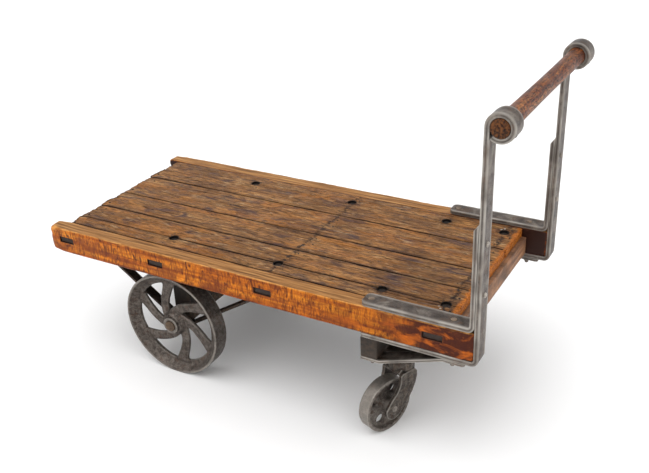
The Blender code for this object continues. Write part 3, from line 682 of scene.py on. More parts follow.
def plank_piece(index):
    """One deck board: relief along its grain, worn arrises, scalloped ends and a few long checks."""
    timber = bpy.context.scene.truck_timber
    node = "deck_plank_%d" % (index + 1)
    low, high = (np.array(corner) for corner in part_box(node))
    length, width = high[0] - low[0], high[1] - low[1]
    skin, faces = surface_grid(grid_lines(low[0], high[0], 0.006, 0.0055),
                               grid_lines(low[1], high[1], 0.004, 0.0028),
                               grid_lines(low[2], high[2], 0.0035, 0.008))
    upper = eased(skin[:, 2], low[2] + 0.006, high[2] - 0.004)
    side = np.where(skin[:, 1] > (low[1] + high[1]) / 2, 1.0, 0.0)
    track = np.stack([skin[:, 0], side * 5.0 + index, 0 * side], -1)
    wear = 0.5 + 0.5 * noise_at(track, (0.05, 1.0, 1.0), 11) + 0.4 * noise_at(track, (0.2, 1.0, 1.0), 12)
    radius = 0.0012 + upper * timber.arris * 0.9 * np.clip(wear, 0.1, 1.4)
    points, outward = rounded(skin, low, high, radius)
    x, y, z = points.T
    top = np.clip(outward[:, 2], 0, 1)
    # grain relief, with hollows between the harder rings
    grain = noise_at(points, (0.16, 0.0055, 1.0), 21 + index)
    grain += 0.6 * noise_at(points, (0.09, 0.003, 1.0), 31 + index)
    hollows = noise_at(points, (0.22, 0.04, 1.0), 41 + index)
    z += top * (timber.relief * grain - 0.0008 * np.clip(hollows, 0, 1))
    # long checks that follow the grain
    for k in range(4):
        start = low[0] + (0.08 + 0.23 * k + 0.05 * math.sin(3 * index + k)) * length
        stop = start + 0.12 + 0.10 * abs(math.sin(5 * k + 2 * index))
        across = low[1] + (0.22 + 0.56 * abs(math.sin(2.3 * k + 1.7 * index))) * width
        line = across + 0.002 * np.sin((x - start) * 40)
        within = eased(x, start, start + 0.03) * (1 - eased(x, stop - 0.03, stop))
        z -= top * within * 0.0022 * np.exp(-((y - line) / 0.0018) ** 2)
    # ends worn back unevenly and rounded down, the free end most
    part = (y - low[1]) / width
    across = np.stack([y, z, 0 * part + index], -1)
    for end, sign, bite, depth, drop in ((low[0], 1, 1.0, 0.014, 0.0045), (high[0], -1, 0.35, 0.002, 0.0015)):
        near = np.clip(1 - (x - end) * sign / 0.045, 0, 1) ** 2
        scallop = 0.0085 * (0.5 + 0.5 * noise_at(across, (0.030, 0.05, 1.0), 51))
        scallop += 0.0026 * noise_at(across, (0.007, 0.012, 1.0), 52)
        split_at = 0.5 + 0.32 * math.sin(4 * index + sign)
        split = depth * np.exp(-((part - split_at) * width / 0.004) ** 2)
        x += sign * near * (bite * scallop + split * top)
        z -= top * near * drop
    # Painted shade: the board's sides, free end and underside are marked near-black, and its top is darkened
    # along its long edges.
    edge = np.minimum(y - low[1], high[1] - y)
    seam_and_side_shade = np.maximum(0.9 * np.exp(-np.clip(edge, 0, 1) / 0.0019), 1 - top)
    ragged = 0.004 * noise_at(across, (0.012, 0.02, 1.0), 55)
    ends = eased(x + ragged, high[0] - 0.013, high[0] - 0.007)
    away = bolt_distance(points)
    nail_line = 0.75 * (1 - eased(away, DECK_BOLT_RADIUS, DECK_BOLT_RADIUS * 4))
    for centre in MEMBER_CENTRES[2:]:
        nail_line = np.maximum(nail_line, 1 - eased(np.abs(x - centre), 0.003, 0.013))
    # The bolt mark is painted shade: near-black in and just round each bolt recess.
    marks = {"seam_and_side_shade": np.clip(seam_and_side_shade - ends, 0, 1), "end_grain": ends, "nail_line": nail_line * top,
             "bolt_recess_shade": 1 - eased(away, DECK_BOLT_RADIUS, DECK_BOLT_RADIUS + 0.0035)}
    board = mesh_object(node + "_worn", points, faces, marks)
    wall = DECK_BOLT_RADIUS
    recess = [(-RECESS, wall), (-RECESS * 0.3, wall), (0.004, wall + 0.003)]
    cutters = [round_bar("recess", recess, 28, centre=(bolt_x, bolt_y, DECK_TOP))
               for bolt_x in DECK_BOLTS for bolt_y in (-DECK_BOLT_Y, DECK_BOLT_Y)
               if low[1] - wall < bolt_y < high[1] + wall]
    if cutters:
        cut(board, cutters)
        # Painted shade on the walls and floor of each bolt recess.
        mark(board.data, "bolt_recess_shade", bolt_distance(read_vertices(board.data)) < wall + 0.0015)
        sharpened(board, 50)
    return board, node


def sill_piece(side, sign):
    """A side sill: worn top arris, rounded free end and through mortises."""
    node = "side_sill_" + side
    low, high = (np.array(corner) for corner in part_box(node))
    skin, faces = surface_grid(grid_lines(low[0], high[0], 0.012, 0.006),
                               grid_lines(low[1], high[1], 0.005, 0.0045),
                               grid_lines(low[2], high[2], 0.005, 0.0045))
    upper = eased(skin[:, 2], low[2] + 0.02, high[2] - 0.01)
    outer = eased(sign * skin[:, 1], SILL_INNER + 0.01, SILL_OUTER - 0.01)
    run = np.stack([skin[:, 0], outer * 3.0, upper * 3.0], -1)
    wear = 0.55 + 0.5 * noise_at(run, (0.06, 1.0, 1.0), 61) + 0.3 * noise_at(run, (0.018, 1.0, 1.0), 62)
    ends = 1 - eased(skin[:, 0], low[0] + 0.01, low[0] + 0.05)
    radius = 0.0018 + (0.0012 + 0.0026 * upper * outer) * np.clip(wear, 0.15, 1.5) + 0.008 * ends
    handle_end = eased(skin[:, 0], high[0] - 0.02, high[0])
    radius = radius * (1 - handle_end) + 0.0012 * handle_end
    radius = np.where((skin[:, 0] > high[0] - 0.02) & (skin[:, 2] < low[2] + 0.02), 0.006, radius)
    points, outward = rounded(skin, low, high, radius)
    x, y, z = points.T
    ripple = 0.00035 * noise_at(points, (0.09, 0.006, 0.006), 71)
    ripple += 0.0005 * noise_at(points, (0.05, 0.03, 0.03), 72)
    dents = -0.0012 * eased(noise_at(points, (0.02, 0.012, 0.012), 73 + sign), 0.55, 0.9)
    points += outward * (ripple + dents)[:, None]
    worn_top = eased(x, low[0] + 0.03, low[0] + 0.09)
    worn_top *= 1 - eased(x, high[0] - 0.32, high[0] - 0.28)
    sag = 0.0016 * worn_top * (1 + 0.5 * noise_at(points, (0.15, 1.0, 1.0), 74))
    z -= upper * np.clip(outward[:, 2], 0, 1) * sag
    chewed = np.clip(noise_at(points, (1.0, 0.012, 0.014), 75), 0, 1)
    x += (1 - eased(x, low[0], low[0] + 0.02)) * 0.004 * chewed
    facing = np.abs(outward)
    corner = np.clip(3.2 * facing[:, 1] * facing[:, 2], 0, 1) * upper * outer
    corner = np.maximum(corner, ends * np.clip(2.4 * facing[:, 0] * facing[:, 2], 0, 1))
    seam_and_side_shade = (1 - outer) * upper * eased(facing[:, 1], 0.5, 0.9) * (skin[:, 0] < high[0] - 0.075)
    along = np.stack([x, y * 0, z], -1)
    scorched = x + 0.05 * noise_at(along, (0.06, 1.0, 0.03), 76)
    burnt_and_dark_bottom = np.maximum(0.95 * eased(scorched, START_X + 1.00, START_X + 1.20),
                       0.35 * eased(noise_at(along, (0.14, 1.0, 0.05), 77), 0.2, 0.8))
    # Darker along the bottom edge and the underside.
    lower = 1 - eased(z, low[2] + 0.003, low[2] + 0.009)
    # Painted shade: the sill's inward face, under the deck, is marked near-black, with the top of that face
    # where the deck boards meet it.
    inboard = eased(-sign * outward[:, 1], 0.55, 0.9)
    marks = {"worn": corner, "burnt_and_dark_bottom": np.maximum(burnt_and_dark_bottom, 0.6 * lower), "inner": np.maximum(inboard, seam_and_side_shade),
             "bare": eased(outward[:, 2], 0.70, 0.95)}
    sill = mesh_object(node + "_worn", points, faces, marks)
    bottom, top = TENON_HEIGHTS[0] - GAP, TENON_HEIGHTS[1] + GAP
    near, far = sorted((sign * (SILL_INNER - 0.05), sign * (SILL_OUTER + 0.05)))
    cut(sill, [block_at("mortise", (centre - TENON_HALF - GAP, near, bottom),
                        (centre + TENON_HALF + GAP, far, top)) for centre in MEMBER_CENTRES])
    # The mortise walls get the same near-black mark, as painted shade inside the mortises.
    x, y, z = read_vertices(sill.data).T
    beside = np.min([np.abs(x - centre) for centre in MEMBER_CENTRES], axis=0)
    near_wall = 0.0001
    walls = (beside < TENON_HALF + GAP + near_wall) & (z > bottom - near_wall) & (z < top + near_wall)
    mark(sill.data, "inner", walls)
    sharpened(sill, 50)
    return sill, node


def softened(node, width, name, material):
    """A merged copy of a frame piece with small worn edges, finished to stand for it."""
    mesh = frame["nodes"][node].data.copy()
    bm = bmesh.new()
    bm.from_mesh(mesh)
    bmesh.ops.remove_doubles(bm, verts=bm.verts, dist=1e-5)
    bmesh.ops.dissolve_limit(bm, angle_limit=math.radians(1.0), verts=bm.verts, edges=bm.edges)
    bm.to_mesh(mesh)
    bm.free()
    mesh.materials.clear()
    obj = add_object(name, mesh)
    add_modifier(obj, "BEVEL", width=width, segments=3, limit_method="ANGLE", angle_limit=math.radians(40))
    apply_modifiers(obj)
    obj.data.shade_smooth()
    sharpened(obj, 40)
    finish_piece(obj, material, "frame", [node])
    return obj


# ---------------------------------------------------------------- operators

class TRUCK_OT_stage(bpy.types.Operator):
    """Pale floor, soft studio light and the camera"""
    bl_idname = "truck.stage"
    bl_label = "Stage"

    def execute(self, context):
        stage = context.scene.truck_stage
        floor = self.sweep()
        material, tree = new_material("pale_floor")
        matt = {"Base Color": stage.floor_colour, "Roughness": 1.0, "Specular IOR Level": 0.0}
        for key, value in matt.items():
            tree.nodes["Principled BSDF"].inputs[key].default_value = value
        floor.data.materials.append(material)
        world = bpy.data.worlds.new("studio")
        world.use_nodes = True
        sky = world.node_tree.nodes["Background"]
        sky.inputs["Strength"].default_value = stage.sky
        upward = add_node(world.node_tree, "ShaderNodeTexCoord", out="Generated")
        upward = add_node(world.node_tree, "ShaderNodeSeparateXYZ", {"Vector": upward}, out="Z")
        shade = add_node(world.node_tree, "ShaderNodeValToRGB", {"Fac": upward},
                         stops=[(0.0, 0.25), (0.45, 0.6), (1.0, 1.35)])
        world.node_tree.links.new(shade, sky.inputs["Color"])
        context.scene.world = world
        for name, source, share in (("key", (-0.5, -0.9, 1.6), 1.0), ("fill", (1.0, -0.4, 0.8), 0.35)):
            lamp = bpy.data.lights.new(name, "SUN")
            lamp.energy = stage.key * share
            lamp.angle = math.radians(60)
            light = add_object(name, lamp)
            light.rotation_euler = Vector(source).to_track_quat("Z", "Y").to_euler()
        lens = bpy.data.cameras.new("view")
        lens.lens = stage.focal
        lens.sensor_width = 36.0
        camera = add_object("view", lens)
        camera.location = CAMERA_PLACE
        camera.rotation_euler = tuple(math.radians(angle) for angle in CAMERA_TURN)
        context.scene.camera = camera
        context.scene.view_settings.view_transform = "Standard"
        return {"FINISHED"}

    def sweep(self):
        """A round floor that curves up into a low wall far behind the truck."""
        flat, rise, around = 9.0, 6.0, 96
        rings = [(flat, 0.0)] + [(flat + rise * math.sin(a), rise * (1 - math.cos(a)))
                                 for a in np.linspace(0.1, math.pi / 2, 14)]
        points = [(0.0, 0.0, 0.0)]
        points += [(radius * c, radius * s, z) for radius, z in rings for c, s in round_steps(around)]
        faces = [(0, 1 + k, 1 + (k + 1) % around) for k in range(around)]
        faces += [tuple(1 + corner for corner in reversed(quad)) for quad in loft(len(rings), around)[:-2]]
        return mesh_object("floor", points, faces)


class TRUCK_OT_deck(bpy.types.Operator):
    """Five worn deck boards"""
    bl_idname = "truck.deck"
    bl_label = "Deck boards"

    def execute(self, context):
        for index in range(5):
            board, node = plank_piece(index)
            material = weathered_board("weathered_board_%d" % (index + 1), index)
            finish_piece(board, material, "frame", [node])
        return {"FINISHED"}


class TRUCK_OT_sills(bpy.types.Operator):
    """Two varnished side sills"""
    bl_idname = "truck.sills"
    bl_label = "Side sills"

    def execute(self, context):
        material = varnished_sill("amber_varnish")
        for side, sign in SIDES.items():
            sill, node = sill_piece(side, sign)
            finish_piece(sill, material, "frame", [node])
        return {"FINISHED"}


class TRUCK_OT_underframe(bpy.types.Operator):
    """Cross timbers, axle block, caster bolster and board"""
    bl_idname = "truck.underframe"
    bl_label = "Underframe timbers"

    def execute(self, context):
        # The near-black copy, for the timbers under the deck, is dark oiled wood with painted shade of the
        # deck in its colour; the brown copy is for the end cross timber.
        dark = rough_timber("oiled_and_shaded_timber", "1a120c", "3f2f20")
        end = rough_timber("brown_timber", "6b4630", "b07e56")
        for number in range(1, 5):
            node = "cross_member_%d" % number
            piece = softened(node, 0.0012, node + "_sawn", end if number == 4 else dark)
            # The tenons, set back in the mortises, are marked darker: darker end grain with painted shade of
            # the mortise round them.
            mark(piece.data, "tenon", np.abs(read_vertices(piece.data)[:, 1]) > SILL_INNER - 0.001)
        for node in ("axle_block", "caster_bolster", "caster_board"):
            softened(node, 0.002, node + "_sawn", dark)
        return {"FINISHED"}


class TRUCK_OT_handle(bpy.types.Operator):
    """Uprights with rolled eyes, their inner brackets and the wooden grip"""
    bl_idname = "truck.handle"
    bl_label = "Handle"

    def execute(self, context):
        bar = wrought_bar("waxed_bar")
        grip_radius = (GRIP_HIGH.z - GRIP_LOW.z) / 2
        grip_z = (GRIP_HIGH.z + GRIP_LOW.z) / 2
        eye = grip_radius + GAP + STRAP / 2
        upright_x = END_X + GAP + STRAP / 2
        under_z = SILL_BOTTOM - GAP - STRAP / 2
        outer = [(STRAP_LOW.x, under_z)]
        outer += arc((upright_x - BEND, under_z + BEND), BEND, -math.pi / 2, 0.0, 8)
        outer += arc((upright_x + eye, grip_z), eye, math.pi, math.radians(-128), 44)
        bracket_x = END_X - STRAP / 2
        over_z = DECK_TOP + GAP + STRAP / 2
        inner = [(BRACKET_LOW.x, over_z)]
        inner += arc((bracket_x - BEND, over_z + BEND), BEND, -math.pi / 2, 0.0, 8)
        inner += [(bracket_x, BRACKET_HIGH.z)]
        for side, sign in SIDES.items():
            flat_bar("upright_bar_" + side, outer, STRAP, "handle_upright_" + side, bar, 80 + sign)
            flat_bar("bracket_bar_" + side, inner, STRAP, "handle_bracket_" + side, bar, 90 + sign,
                     (0.014, 0.0), BRACKET_SLANT)
        self.make_grip(grip_radius, upright_x + eye, grip_z)
        return {"FINISHED"}

    def make_grip(self, radius, x, z):
        """The dowel, a little thinner between the eyes where hands have worn it."""
        reach = GRIP_HIGH.y
        tip = [(1.0, radius - 0.004), (0.994, radius - 0.001), (0.985, radius)]
        stations = [(-part, r) for part, r in tip]
        stations += [(-0.8 + 1.6 * k / 40, radius - 0.0012 * math.sin(math.pi * k / 40)) for k in range(41)]
        stations = [(part * reach, r) for part, r in stations + tip[::-1]]
        grip = round_bar("worn_grip", stations, 48, (0, 1, 0), (x, 0, z))
        beside = np.abs(read_vertices(grip.data)[:, 1])
        mark(grip.data, "end_grain", eased(beside, reach - 0.010, reach - 0.006))
        sharpened(grip, 60)
        finish_piece(grip, handled_grip("rubbed_dowel"), "frame", ["handle_grip"])


def wheel_spoke(angle_end, sweep, inner, outer):
    """One swept arm with an oval section."""
    stations, around, half_depth, step = 20, 14, 0.0074, 0.002
    points = []
    for i in range(stations):
        part = i / (stations - 1)
        radius = inner + (outer - inner) * part
        angle = angle_end + sweep * (1 - part) ** 1.7
        ahead = angle_end + sweep * max(0.0, 1 - part - step / (outer - inner)) ** 1.7
        here = Vector((radius * math.cos(angle), radius * math.sin(angle)))
        there = Vector(((radius + step) * math.cos(ahead), (radius + step) * math.sin(ahead)))
        along = (there - here).normalized()
        normal = Vector((-along.y, along.x))
        half_width = 0.0130 + 0.0045 * part ** 2 + 0.009 * (1 - part) ** 6 + 0.010 * part ** 14
        for turn in round_steps(around):
            across, deep = (math.copysign(abs(value) ** 0.7, value) for value in turn)
            place = here + normal * (half_width * across)
            points.append((place.x, WHEEL_MIDDLE + half_depth * deep, place.y))
    return mesh_object("spoke", points, loft(stations, around), recalc=True)


class TRUCK_OT_wheels(bpy.types.Operator):
    """Two cast wheels with swept spokes"""
    bl_idname = "truck.wheels"
    bl_label = "Cast wheels"

    def execute(self, context):
        radius = (WHEEL_HIGH.z - WHEEL_LOW.z) / 2
        hub_outer, middle, half = -WHEEL_LOW.y, WHEEL_MIDDLE, TREAD / 2
        # the rim's side, as depths below the tread, from the web out to the tread's corner
        flank = [(0.032, 0.0), (0.0315, 0.004), (0.029, 0.0062), (0.024, 0.008), (0.019, 0.0115),
                 (0.014, half - 0.0095), (0.0095, half - 0.0045), (0.0065, half - 0.0008), (0.0055, half),
                 (0.0012, half), (0.0, half - 0.0012)]
        flank = [(radius - depth, y) for depth, y in flank]
        crown = [(radius, half * part) for part in (0.6, 0.2, -0.2, -0.6)]
        rim = [(r, middle + y) for r, y in flank + crown] + [(r, middle - y) for r, y in reversed(flank[1:])]
        hub = [(BORE, HUB_INNER), (BORE, hub_outer), (0.0238, hub_outer), (0.0252, hub_outer - 0.0016),
               (0.0252, hub_outer - 0.0080), (0.0290, hub_outer - 0.0105), (0.0330, hub_outer - 0.0150),
               (0.0370, middle + 0.006), (0.0380, middle), (0.0340, middle - 0.008),
               (0.0290, HUB_INNER + 0.002)]
        shapes = [turned_ring("rim", rim, 144), turned_ring("hub", hub, 72)]
        shapes += [wheel_spoke(math.radians(95 + 360 / SPOKES * k), math.radians(52), 0.024, radius - 0.029)
                   for k in range(SPOKES)]
        wheel = join("cast_wheel_right", shapes)
        cast_skin(wheel, context.scene.truck_iron.voxel, 0.5, 101)
        turned(edge_wear(wheel), Matrix.Diagonal((1.0, -1.0, 1.0, 1.0)))
        at_axle = Matrix.Translation(((WHEEL_HIGH.x + WHEEL_LOW.x) / 2, 0.0, radius))
        twin = copied(wheel, "cast_wheel_left", at_axle @ Matrix.Rotation(math.pi, 4, "Z"))
        turned(wheel, at_axle)
        metal = sand_casting("wheel_casting", "443d38", "5e5650", "756d66")
        finish_piece(wheel, metal, "wheel_right", ["wheel_right"])
        finish_piece(twin, metal, "wheel_left", ["wheel_left"])
        return {"FINISHED"}


class TRUCK_OT_axle_gear(bpy.types.Operator):
    """Axle, collars, stays and caster braces"""
    bl_idname = "truck.axle_gear"
    bl_label = "Axle and stays"

    def execute(self, context):
        brown = rusted_bar("browned_axle", "332820", "64503d")
        black = rusted_bar("black_stay", "2a2320", "57473c")
        bar = wrought_bar("brace_bar")
        softened("axle", 0.0012, "forged_axle", brown)
        foot = SILL_BOTTOM - GAP - STAY / 2
        under = AXLE_LOW.z - GAP - STAY / 2
        stay = [(STAY_LOW.x, foot), (STAY_FEET[0], foot), (AXLE_LOW.x - 0.004, under),
                (AXLE_HIGH.x + 0.004, under), (STAY_FEET[1], foot), (STAY_HIGH.x, foot)]
        low = BOLSTER_LOW.z - GAP - STAY / 2
        high = SILL_BOTTOM - STRAP - 2 * GAP - STAY / 2
        brace = [(BRACE_LOW.x, low), (BOLSTER_HIGH.x + 0.004, low), (BRACE_TOP, high), (BRACE_HIGH.x, high)]
        for side, sign in SIDES.items():
            softened("axle_collar_" + side, 0.0006, "turned_collar_" + side, brown)
            flat_bar("stay_bar_" + side, stay, STAY, "axle_stay_" + side, black, 110 + sign,
                     (0.010, 0.010))
            flat_bar("brace_bar_" + side, brace, STAY, "caster_brace_" + side, bar, 120 + sign,
                     (0.0, 0.008))
        return {"FINISHED"}


def caster_frame(side):
    """Where a caster stands: origin in the middle of its pin, +Y along it, +X towards its swivel."""
    pin, swivel = JOINTS["caster_%s_spin" % side], JOINTS["caster_%s_swivel" % side]
    centre = Vector(pin["pos_m"])
    across = Vector(pin["axis"]).normalized()
    ahead = Vector(swivel["pos_m"]) - centre
    ahead.z = 0.0
    turn = Matrix((ahead.normalized(), across, Vector((0.0, 0.0, 1.0)))).transposed().to_4x4()
    return Matrix.Translation(centre) @ turn


def caster_tyre():
    """One cast wheel at the origin: a flat tread, a thin web with four holes, and a stepped hub."""
    half, hub = CASTER_TREAD / 2, CASTER_HUB / 2
    flank = [(0.0090, hub), (0.0165, hub), (0.0180, hub - 0.0012), (0.0192, 0.0125), (0.0215, 0.0072),
             (0.0260, 0.0050), (0.0330, 0.0045), (0.0580, 0.0045), (0.0625, 0.0062), (0.0652, 0.0105),
             (0.0662, half - 0.0012), (0.0672, half), (CASTER_RADIUS - 0.0016, half),
             (CASTER_RADIUS - 0.0004, half - 0.0006), (CASTER_RADIUS, half - 0.0020)]
    crown = [(CASTER_RADIUS, half * part) for part in (0.5, 0.0, -0.5)]
    wheel = turned_ring("caster_tyre", flank + crown + [(r, -y) for r, y in reversed(flank)], 112)
    flare = [(0, 0.016), (0.0145, 0.015), (0.0162, 0.0135), (0.0238, 0.0135), (0.0255, 0.015), (0.04, 0.016)]
    angles = [math.radians(WEB_HOLE_START + 90 * k) for k in range(4)]
    cut(wheel, [round_bar("web_hole", flare, 36, (0, 1, 0),
                          (WEB_HOLE_CIRCLE * math.cos(angle), -0.02, WEB_HOLE_CIRCLE * math.sin(angle)))
                for angle in angles])
    points = read_vertices(wheel.data)
    edge = 1 - np.abs(np.hypot(points[:, 0], points[:, 2]) - CASTER_RADIUS + 0.0006) / 0.0016
    mark(wheel.data, "worn", np.maximum(0.75 * edge, 0.5 * (np.abs(points[:, 1]) > hub - 0.002)))
    wheel.data.shade_smooth()
    sharpened(wheel, 32)
    return wheel


def riveted_pin():
    """The caster's pin at the origin, with a wide low rivet head outside each arm."""
    reach = FORK_OUTSIDE + 0.0045
    head = [(0.0001, 0.0012), (0.0004, 0.0042), (0.0012, 0.0070), (0.0026, 0.0088), (0.0040, 0.0092),
            (0.0043, 0.0078)]
    head = [(reach - depth, radius) for depth, radius in head]
    return round_bar("riveted_pin", [(-along, radius) for along, radius in head] + head[::-1], 32, (0, 1, 0))


def cast_fork():
    """The fork about its pin's middle: the frame's shape and a raised boss on each arm, in one cast skin."""
    shape = copied(frame["nodes"]["caster_fork_right"], "fork", caster_frame("right").inverted())
    boss = [(FORK_OUTSIDE - 0.004, 0.0165), (FORK_OUTSIDE + 0.0004, 0.0160), (FORK_OUTSIDE + 0.0014, 0.0145)]
    fork = join("cast_fork", [shape] + [round_bar("boss", boss, 40, (0, sign, 0)) for sign in (-1, 1)])
    cast_skin(fork, FORK_VOXEL, 0.55, 131)
    return edge_wear(fork)


class TRUCK_OT_casters(bpy.types.Operator):
    """Two swivel casters: plate, fork, pin and wheel"""
    bl_idname = "truck.casters"
    bl_label = "Casters"

    def execute(self, context):
        metal = sand_casting("caster_casting", "3b3531", "57504a", "70685f")
        bright = sand_casting("caster_wheel_casting", "4d4641", "6c645d", "88817a")
        rivet = rusted_bar("caster_rivet", "5e5751", "958d84")
        parts = ((cast_fork(), "cast_fork_", metal, "caster_", "caster_fork_", "cast_iron"),
                 (riveted_pin(), "riveted_pin_", rivet, "caster_", "caster_axle_", "axle_iron"),
                 (caster_tyre(), "cast_caster_wheel_", bright, "caster_wheel_", "caster_wheel_", "cast_iron"))
        for side in SIDES:
            softened("caster_plate_" + side, 0.0012, "cast_plate_" + side, metal)
            for shape, name, material, body, node, slot in parts:
                piece = copied(shape, name + side, caster_frame(side))
                finish_piece(piece, material, body + side, [node + side])
        discard([part[0] for part in parts])
        return {"FINISHED"}


# ---------------------------------------------------------------- fastenings

def scatter_tree():
    """Geometry nodes that stand a head on each point, turned to its aim, then make it real."""
    tree = bpy.data.node_groups.new("stand_heads", "GeometryNodeTree")
    kinds = {"Points": "Geometry", "Head": "Object", "Size": "Float", "Turn": "Float", "Seed": "Int",
             "Finish": "Material"}
    for name, kind in kinds.items():
        tree.interface.new_socket(name, in_out="INPUT", socket_type="NodeSocket" + kind)
    tree.interface.new_socket("Heads", in_out="OUTPUT", socket_type="NodeSocketGeometry")
    given = {name: add_node(tree, "NodeGroupInput", out=name) for name in kinds}
    head = add_node(tree, "GeometryNodeObjectInfo", {"Object": given["Head"]}, out="Geometry")
    aim = add_node(tree, "GeometryNodeInputNamedAttribute", {"Name": "aim"}, data_type="FLOAT_VECTOR")
    turn = add_node(tree, "FunctionNodeRandomValue", {3: given["Turn"], "Seed": given["Seed"]}, out=1,
                    data_type="FLOAT")
    stand = add_node(tree, "FunctionNodeAlignRotationToVector", {"Vector": aim}, axis="Z")
    spin = add_node(tree, "FunctionNodeAxisAngleToRotation", {"Axis": (0, 0, 1), "Angle": turn})
    stand = add_node(tree, "FunctionNodeRotateRotation", {0: stand, 1: spin}, rotation_space="LOCAL")
    heads = add_node(tree, "GeometryNodeInstanceOnPoints",
                     {"Points": given["Points"], "Instance": head, "Rotation": stand, "Scale": given["Size"]})
    heads = add_node(tree, "GeometryNodeRealizeInstances", {"Geometry": heads})
    heads = add_node(tree, "GeometryNodeSetMaterial", {"Geometry": heads, "Material": given["Finish"]})
    tree.links.new(heads, tree.nodes.new("NodeGroupOutput").inputs["Heads"])
    return tree


def stand_heads(tree, name, places, head, material, body="frame", turn=0.0, seed=1):
    """Stand one head on each (place, aim), as one plain mesh that rides on a body."""
    points = bpy.data.meshes.new(name)
    points.from_pydata([tuple(place) for place, _ in places], [], [])
    layer = points.attributes.new("aim", "FLOAT_VECTOR", "POINT")
    layer.data.foreach_set("vector", np.array([tuple(aim) for _, aim in places], np.float32).ravel())
    obj = add_object(name, points)
    modifier = add_modifier(obj, "NODES", node_group=tree)
    wanted = {"Head": head, "Size": 1.0, "Turn": turn, "Seed": seed, "Finish": material}
    for item in tree.interface.items_tree:
        if item.in_out == "INPUT" and item.name in wanted:
            modifier[item.identifier] = wanted[item.name]
    apply_modifiers(obj)
    obj.data.shade_smooth()
    sharpened(obj, 35)
    finish_piece(obj, material, body)


def domed_head(name, radius, height, flat=0.0):
    """A low domed rivet or nail head, sunk a little into what holds it."""
    dome = [(flat + height * math.sin(a), radius * math.cos(a)) for a in (0.3, 0.6, 0.9, 1.2, 1.45)]
    return round_bar(name, [(-0.002, radius), (flat, radius)] + dome, 20)


def square_nut(name, half, height, bolt):
    """A forged square nut with chamfered corners over a washer, and the bolt's end standing through it."""
    nut = [(0.0015, half * 1.38), (height - 0.0015, half * 1.38), (height, half * 1.2)]
    flat_disc = [(-0.001, half * 1.5), (0.0012, half * 1.5), (0.0015, half * 1.4)]
    shank = [(-0.001, bolt), (height + 0.007, bolt), (height + 0.009, bolt * 0.7)]
    return join(name, [round_bar(name, *part) for part in ((nut, 4), (flat_disc, 24), (shank, 16))])


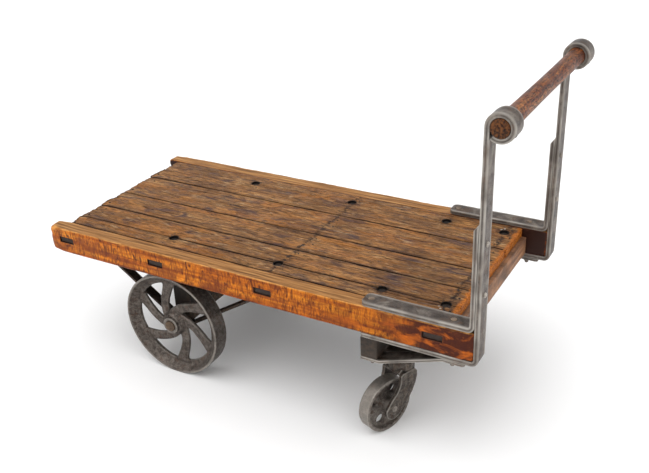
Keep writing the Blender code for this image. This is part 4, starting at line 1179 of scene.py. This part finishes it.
class TRUCK_OT_fastenings(bpy.types.Operator):
    """Deck bolts, nails, rivets and nuts"""
    bl_idname = "truck.fastenings"
    bl_label = "Fastenings"

    def execute(self, context):
        tree = scatter_tree()
        black = rusted_bar("black_bolt", "14100e", "33271f")
        pale = rusted_bar("grey_rivet", "5a5048", "978c80")
        bright = rusted_bar("rubbed_stud", "8a8178", "c4bcb2")
        brown = rusted_bar("brown_rivet", "5a4b3f", "93806d")
        bolt = domed_head("bolt_head", 0.0105, 0.0012)
        nail = domed_head("nail_head", 0.0032, 0.0008)
        rivet = domed_head("rivet_head", 0.0082, 0.0012)
        # A flat black disc under each bar rivet, a little wider than its head: a painted shadow ring.
        flat_disc = domed_head("rivet_shadow", 0.0099, 0.0002)
        stud = domed_head("stud_head", 0.0068, 0.0035, 0.0012)
        nut = square_nut("bar_nut", 0.009, 0.010, 0.0056)
        screw = domed_head("set_screw", 0.0038, 0.0010)
        up, down = (0, 0, 1), (0, 0, -1)
        middle = (STRAP_LOW.y + STRAP_HIGH.y) / 2
        bolts, screws, tops, faces, nuts, eyes = [], [], [], [], [], []
        grip = (GRIP_LOW + GRIP_HIGH) / 2
        eye_aim = Vector((0.78, 0.0, -0.62)).normalized()
        eye = grip + eye_aim * ((GRIP_HIGH.z - GRIP_LOW.z) / 2 + GAP + STRAP)
        under_straps = SILL_BOTTOM - STRAP - STAY - 2 * GAP
        for sign in SIDES.values():
            bolts += [((x, -sign * DECK_BOLT_Y, DECK_TOP - RECESS), up) for x in DECK_BOLTS]
            screws += [((DECK_BOLTS[3] - ahead, sign * (DECK_BOLT_Y + beside), DECK_TOP - 0.0004), up)
                       for ahead, beside in ((0.013, 0.015), (0.006, 0.022))]
            tops += [((x, sign * middle, DECK_TOP + GAP + STRAP), up) for x in STRAP_BOLTS]
            faces += [((x, sign * middle, z), (aim, 0, 0)) for z in FACE_RIVETS
                      for x, aim in ((END_X + GAP + STRAP, 1), (END_X - STRAP, -1))]
            nuts += [((STRAP_BOLTS[0], sign * middle, BOLSTER_LOW.z - STAY - GAP), down),
                     ((STRAP_BOLTS[1], sign * middle, under_straps), down)]
            nuts += [((x, sign * STAY_BOLT_Y, SILL_BOTTOM - STAY - GAP), down) for x in STAY_BOLTS]
            nuts += [((x, sign * y, PLATE_TOP - 0.008), down) for x in PLATE_BOLTS for y in PLATE_BOLT_Y]
            nuts.append(((DECK_BOLTS[3], sign * DECK_BOLT_Y, SILL_BOTTOM), down))
            eyes.append((eye + Vector((0.0, sign * middle, 0.0)), eye_aim))
        stand_heads(tree, "deck_bolts", bolts, bolt, black)
        stand_heads(tree, "deck_screws", screws, nail, bright)
        stand_heads(tree, "deck_nails", self.nail_places(), nail, black)
        # Painted shadow rings under the bar rivets.
        stand_heads(tree, "rivet_rings", tops, flat_disc, black)
        stand_heads(tree, "bar_rivets", tops, rivet, brown)
        stand_heads(tree, "upright_studs", faces, stud, bright)
        stand_heads(tree, "frame_nuts", nuts, nut, pale, turn=math.pi, seed=4)
        centre = Vector(((WHEEL_LOW.x + WHEEL_HIGH.x) / 2, 0.0, WHEEL_HIGH.z / 2))
        for side, sign in SIDES.items():
            aim = Vector((0.35 * sign, 0.0, 0.94)).normalized()
            place = centre + aim * 0.0285 + Vector((0.0, sign * (HUB_INNER + 0.037), 0.0))
            stand_heads(tree, "hub_screw_" + side, [(place, aim)], screw, black, "wheel_" + side)
        stand_heads(tree, "eye_screws", eyes, screw, black)
        discard((bolt, nail, rivet, flat_disc, stud, nut, screw))
        return {"FINISHED"}

    def nail_places(self):
        """Rows of nails over each cross timber, a little out of line."""
        places = []
        for index in range(5):
            low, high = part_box("deck_plank_%d" % (index + 1))
            for k, centre in enumerate(MEMBER_CENTRES):
                for part, shift in ((0.18, -0.012), (0.80, 0.010), (0.48, 0.018)):
                    x = centre + shift + 0.004 * math.sin(7 * index + 3 * k)
                    y = low.y + part * (high.y - low.y) + 0.003 * math.sin(5 * k + index)
                    places.append(((x, y, DECK_TOP - 0.0006), (0, 0, 1)))
        return places


class TRUCK_PT_panel(bpy.types.Panel):
    """Build steps and settings of the truck"""
    bl_idname = "TRUCK_PT_panel"
    bl_label = "Platform truck"
    bl_space_type = "VIEW_3D"
    bl_region_type = "UI"
    bl_category = "Truck"

    def draw(self, context):
        for operator in BUILD_STEPS:
            self.layout.operator(operator.bl_idname)
        for name in GROUPS:
            group = getattr(context.scene, name)
            column = self.layout.column()
            for setting in group.__annotations__:
                column.prop(group, setting)


BUILD_STEPS = (TRUCK_OT_stage, TRUCK_OT_deck, TRUCK_OT_sills, TRUCK_OT_underframe, TRUCK_OT_handle,
               TRUCK_OT_wheels, TRUCK_OT_axle_gear, TRUCK_OT_casters, TRUCK_OT_fastenings)
GROUPS = {"truck_timber": TruckTimber, "truck_iron": TruckIron, "truck_stage": TruckStage}


def register():
    for name, group in GROUPS.items():
        bpy.utils.register_class(group)
        setattr(bpy.types.Scene, name, PointerProperty(type=group))
    for shown in (*BUILD_STEPS, TRUCK_PT_panel):
        bpy.utils.register_class(shown)


def unregister():
    for shown in (TRUCK_PT_panel, *reversed(BUILD_STEPS)):
        bpy.utils.unregister_class(shown)
    for name, group in GROUPS.items():
        delattr(bpy.types.Scene, name)
        bpy.utils.unregister_class(group)


def main():
    register()
    for operator in BUILD_STEPS:
        area, step = operator.bl_idname.split(".")
        getattr(getattr(bpy.ops, area), step)()


if __name__ == "__main__":
    main()
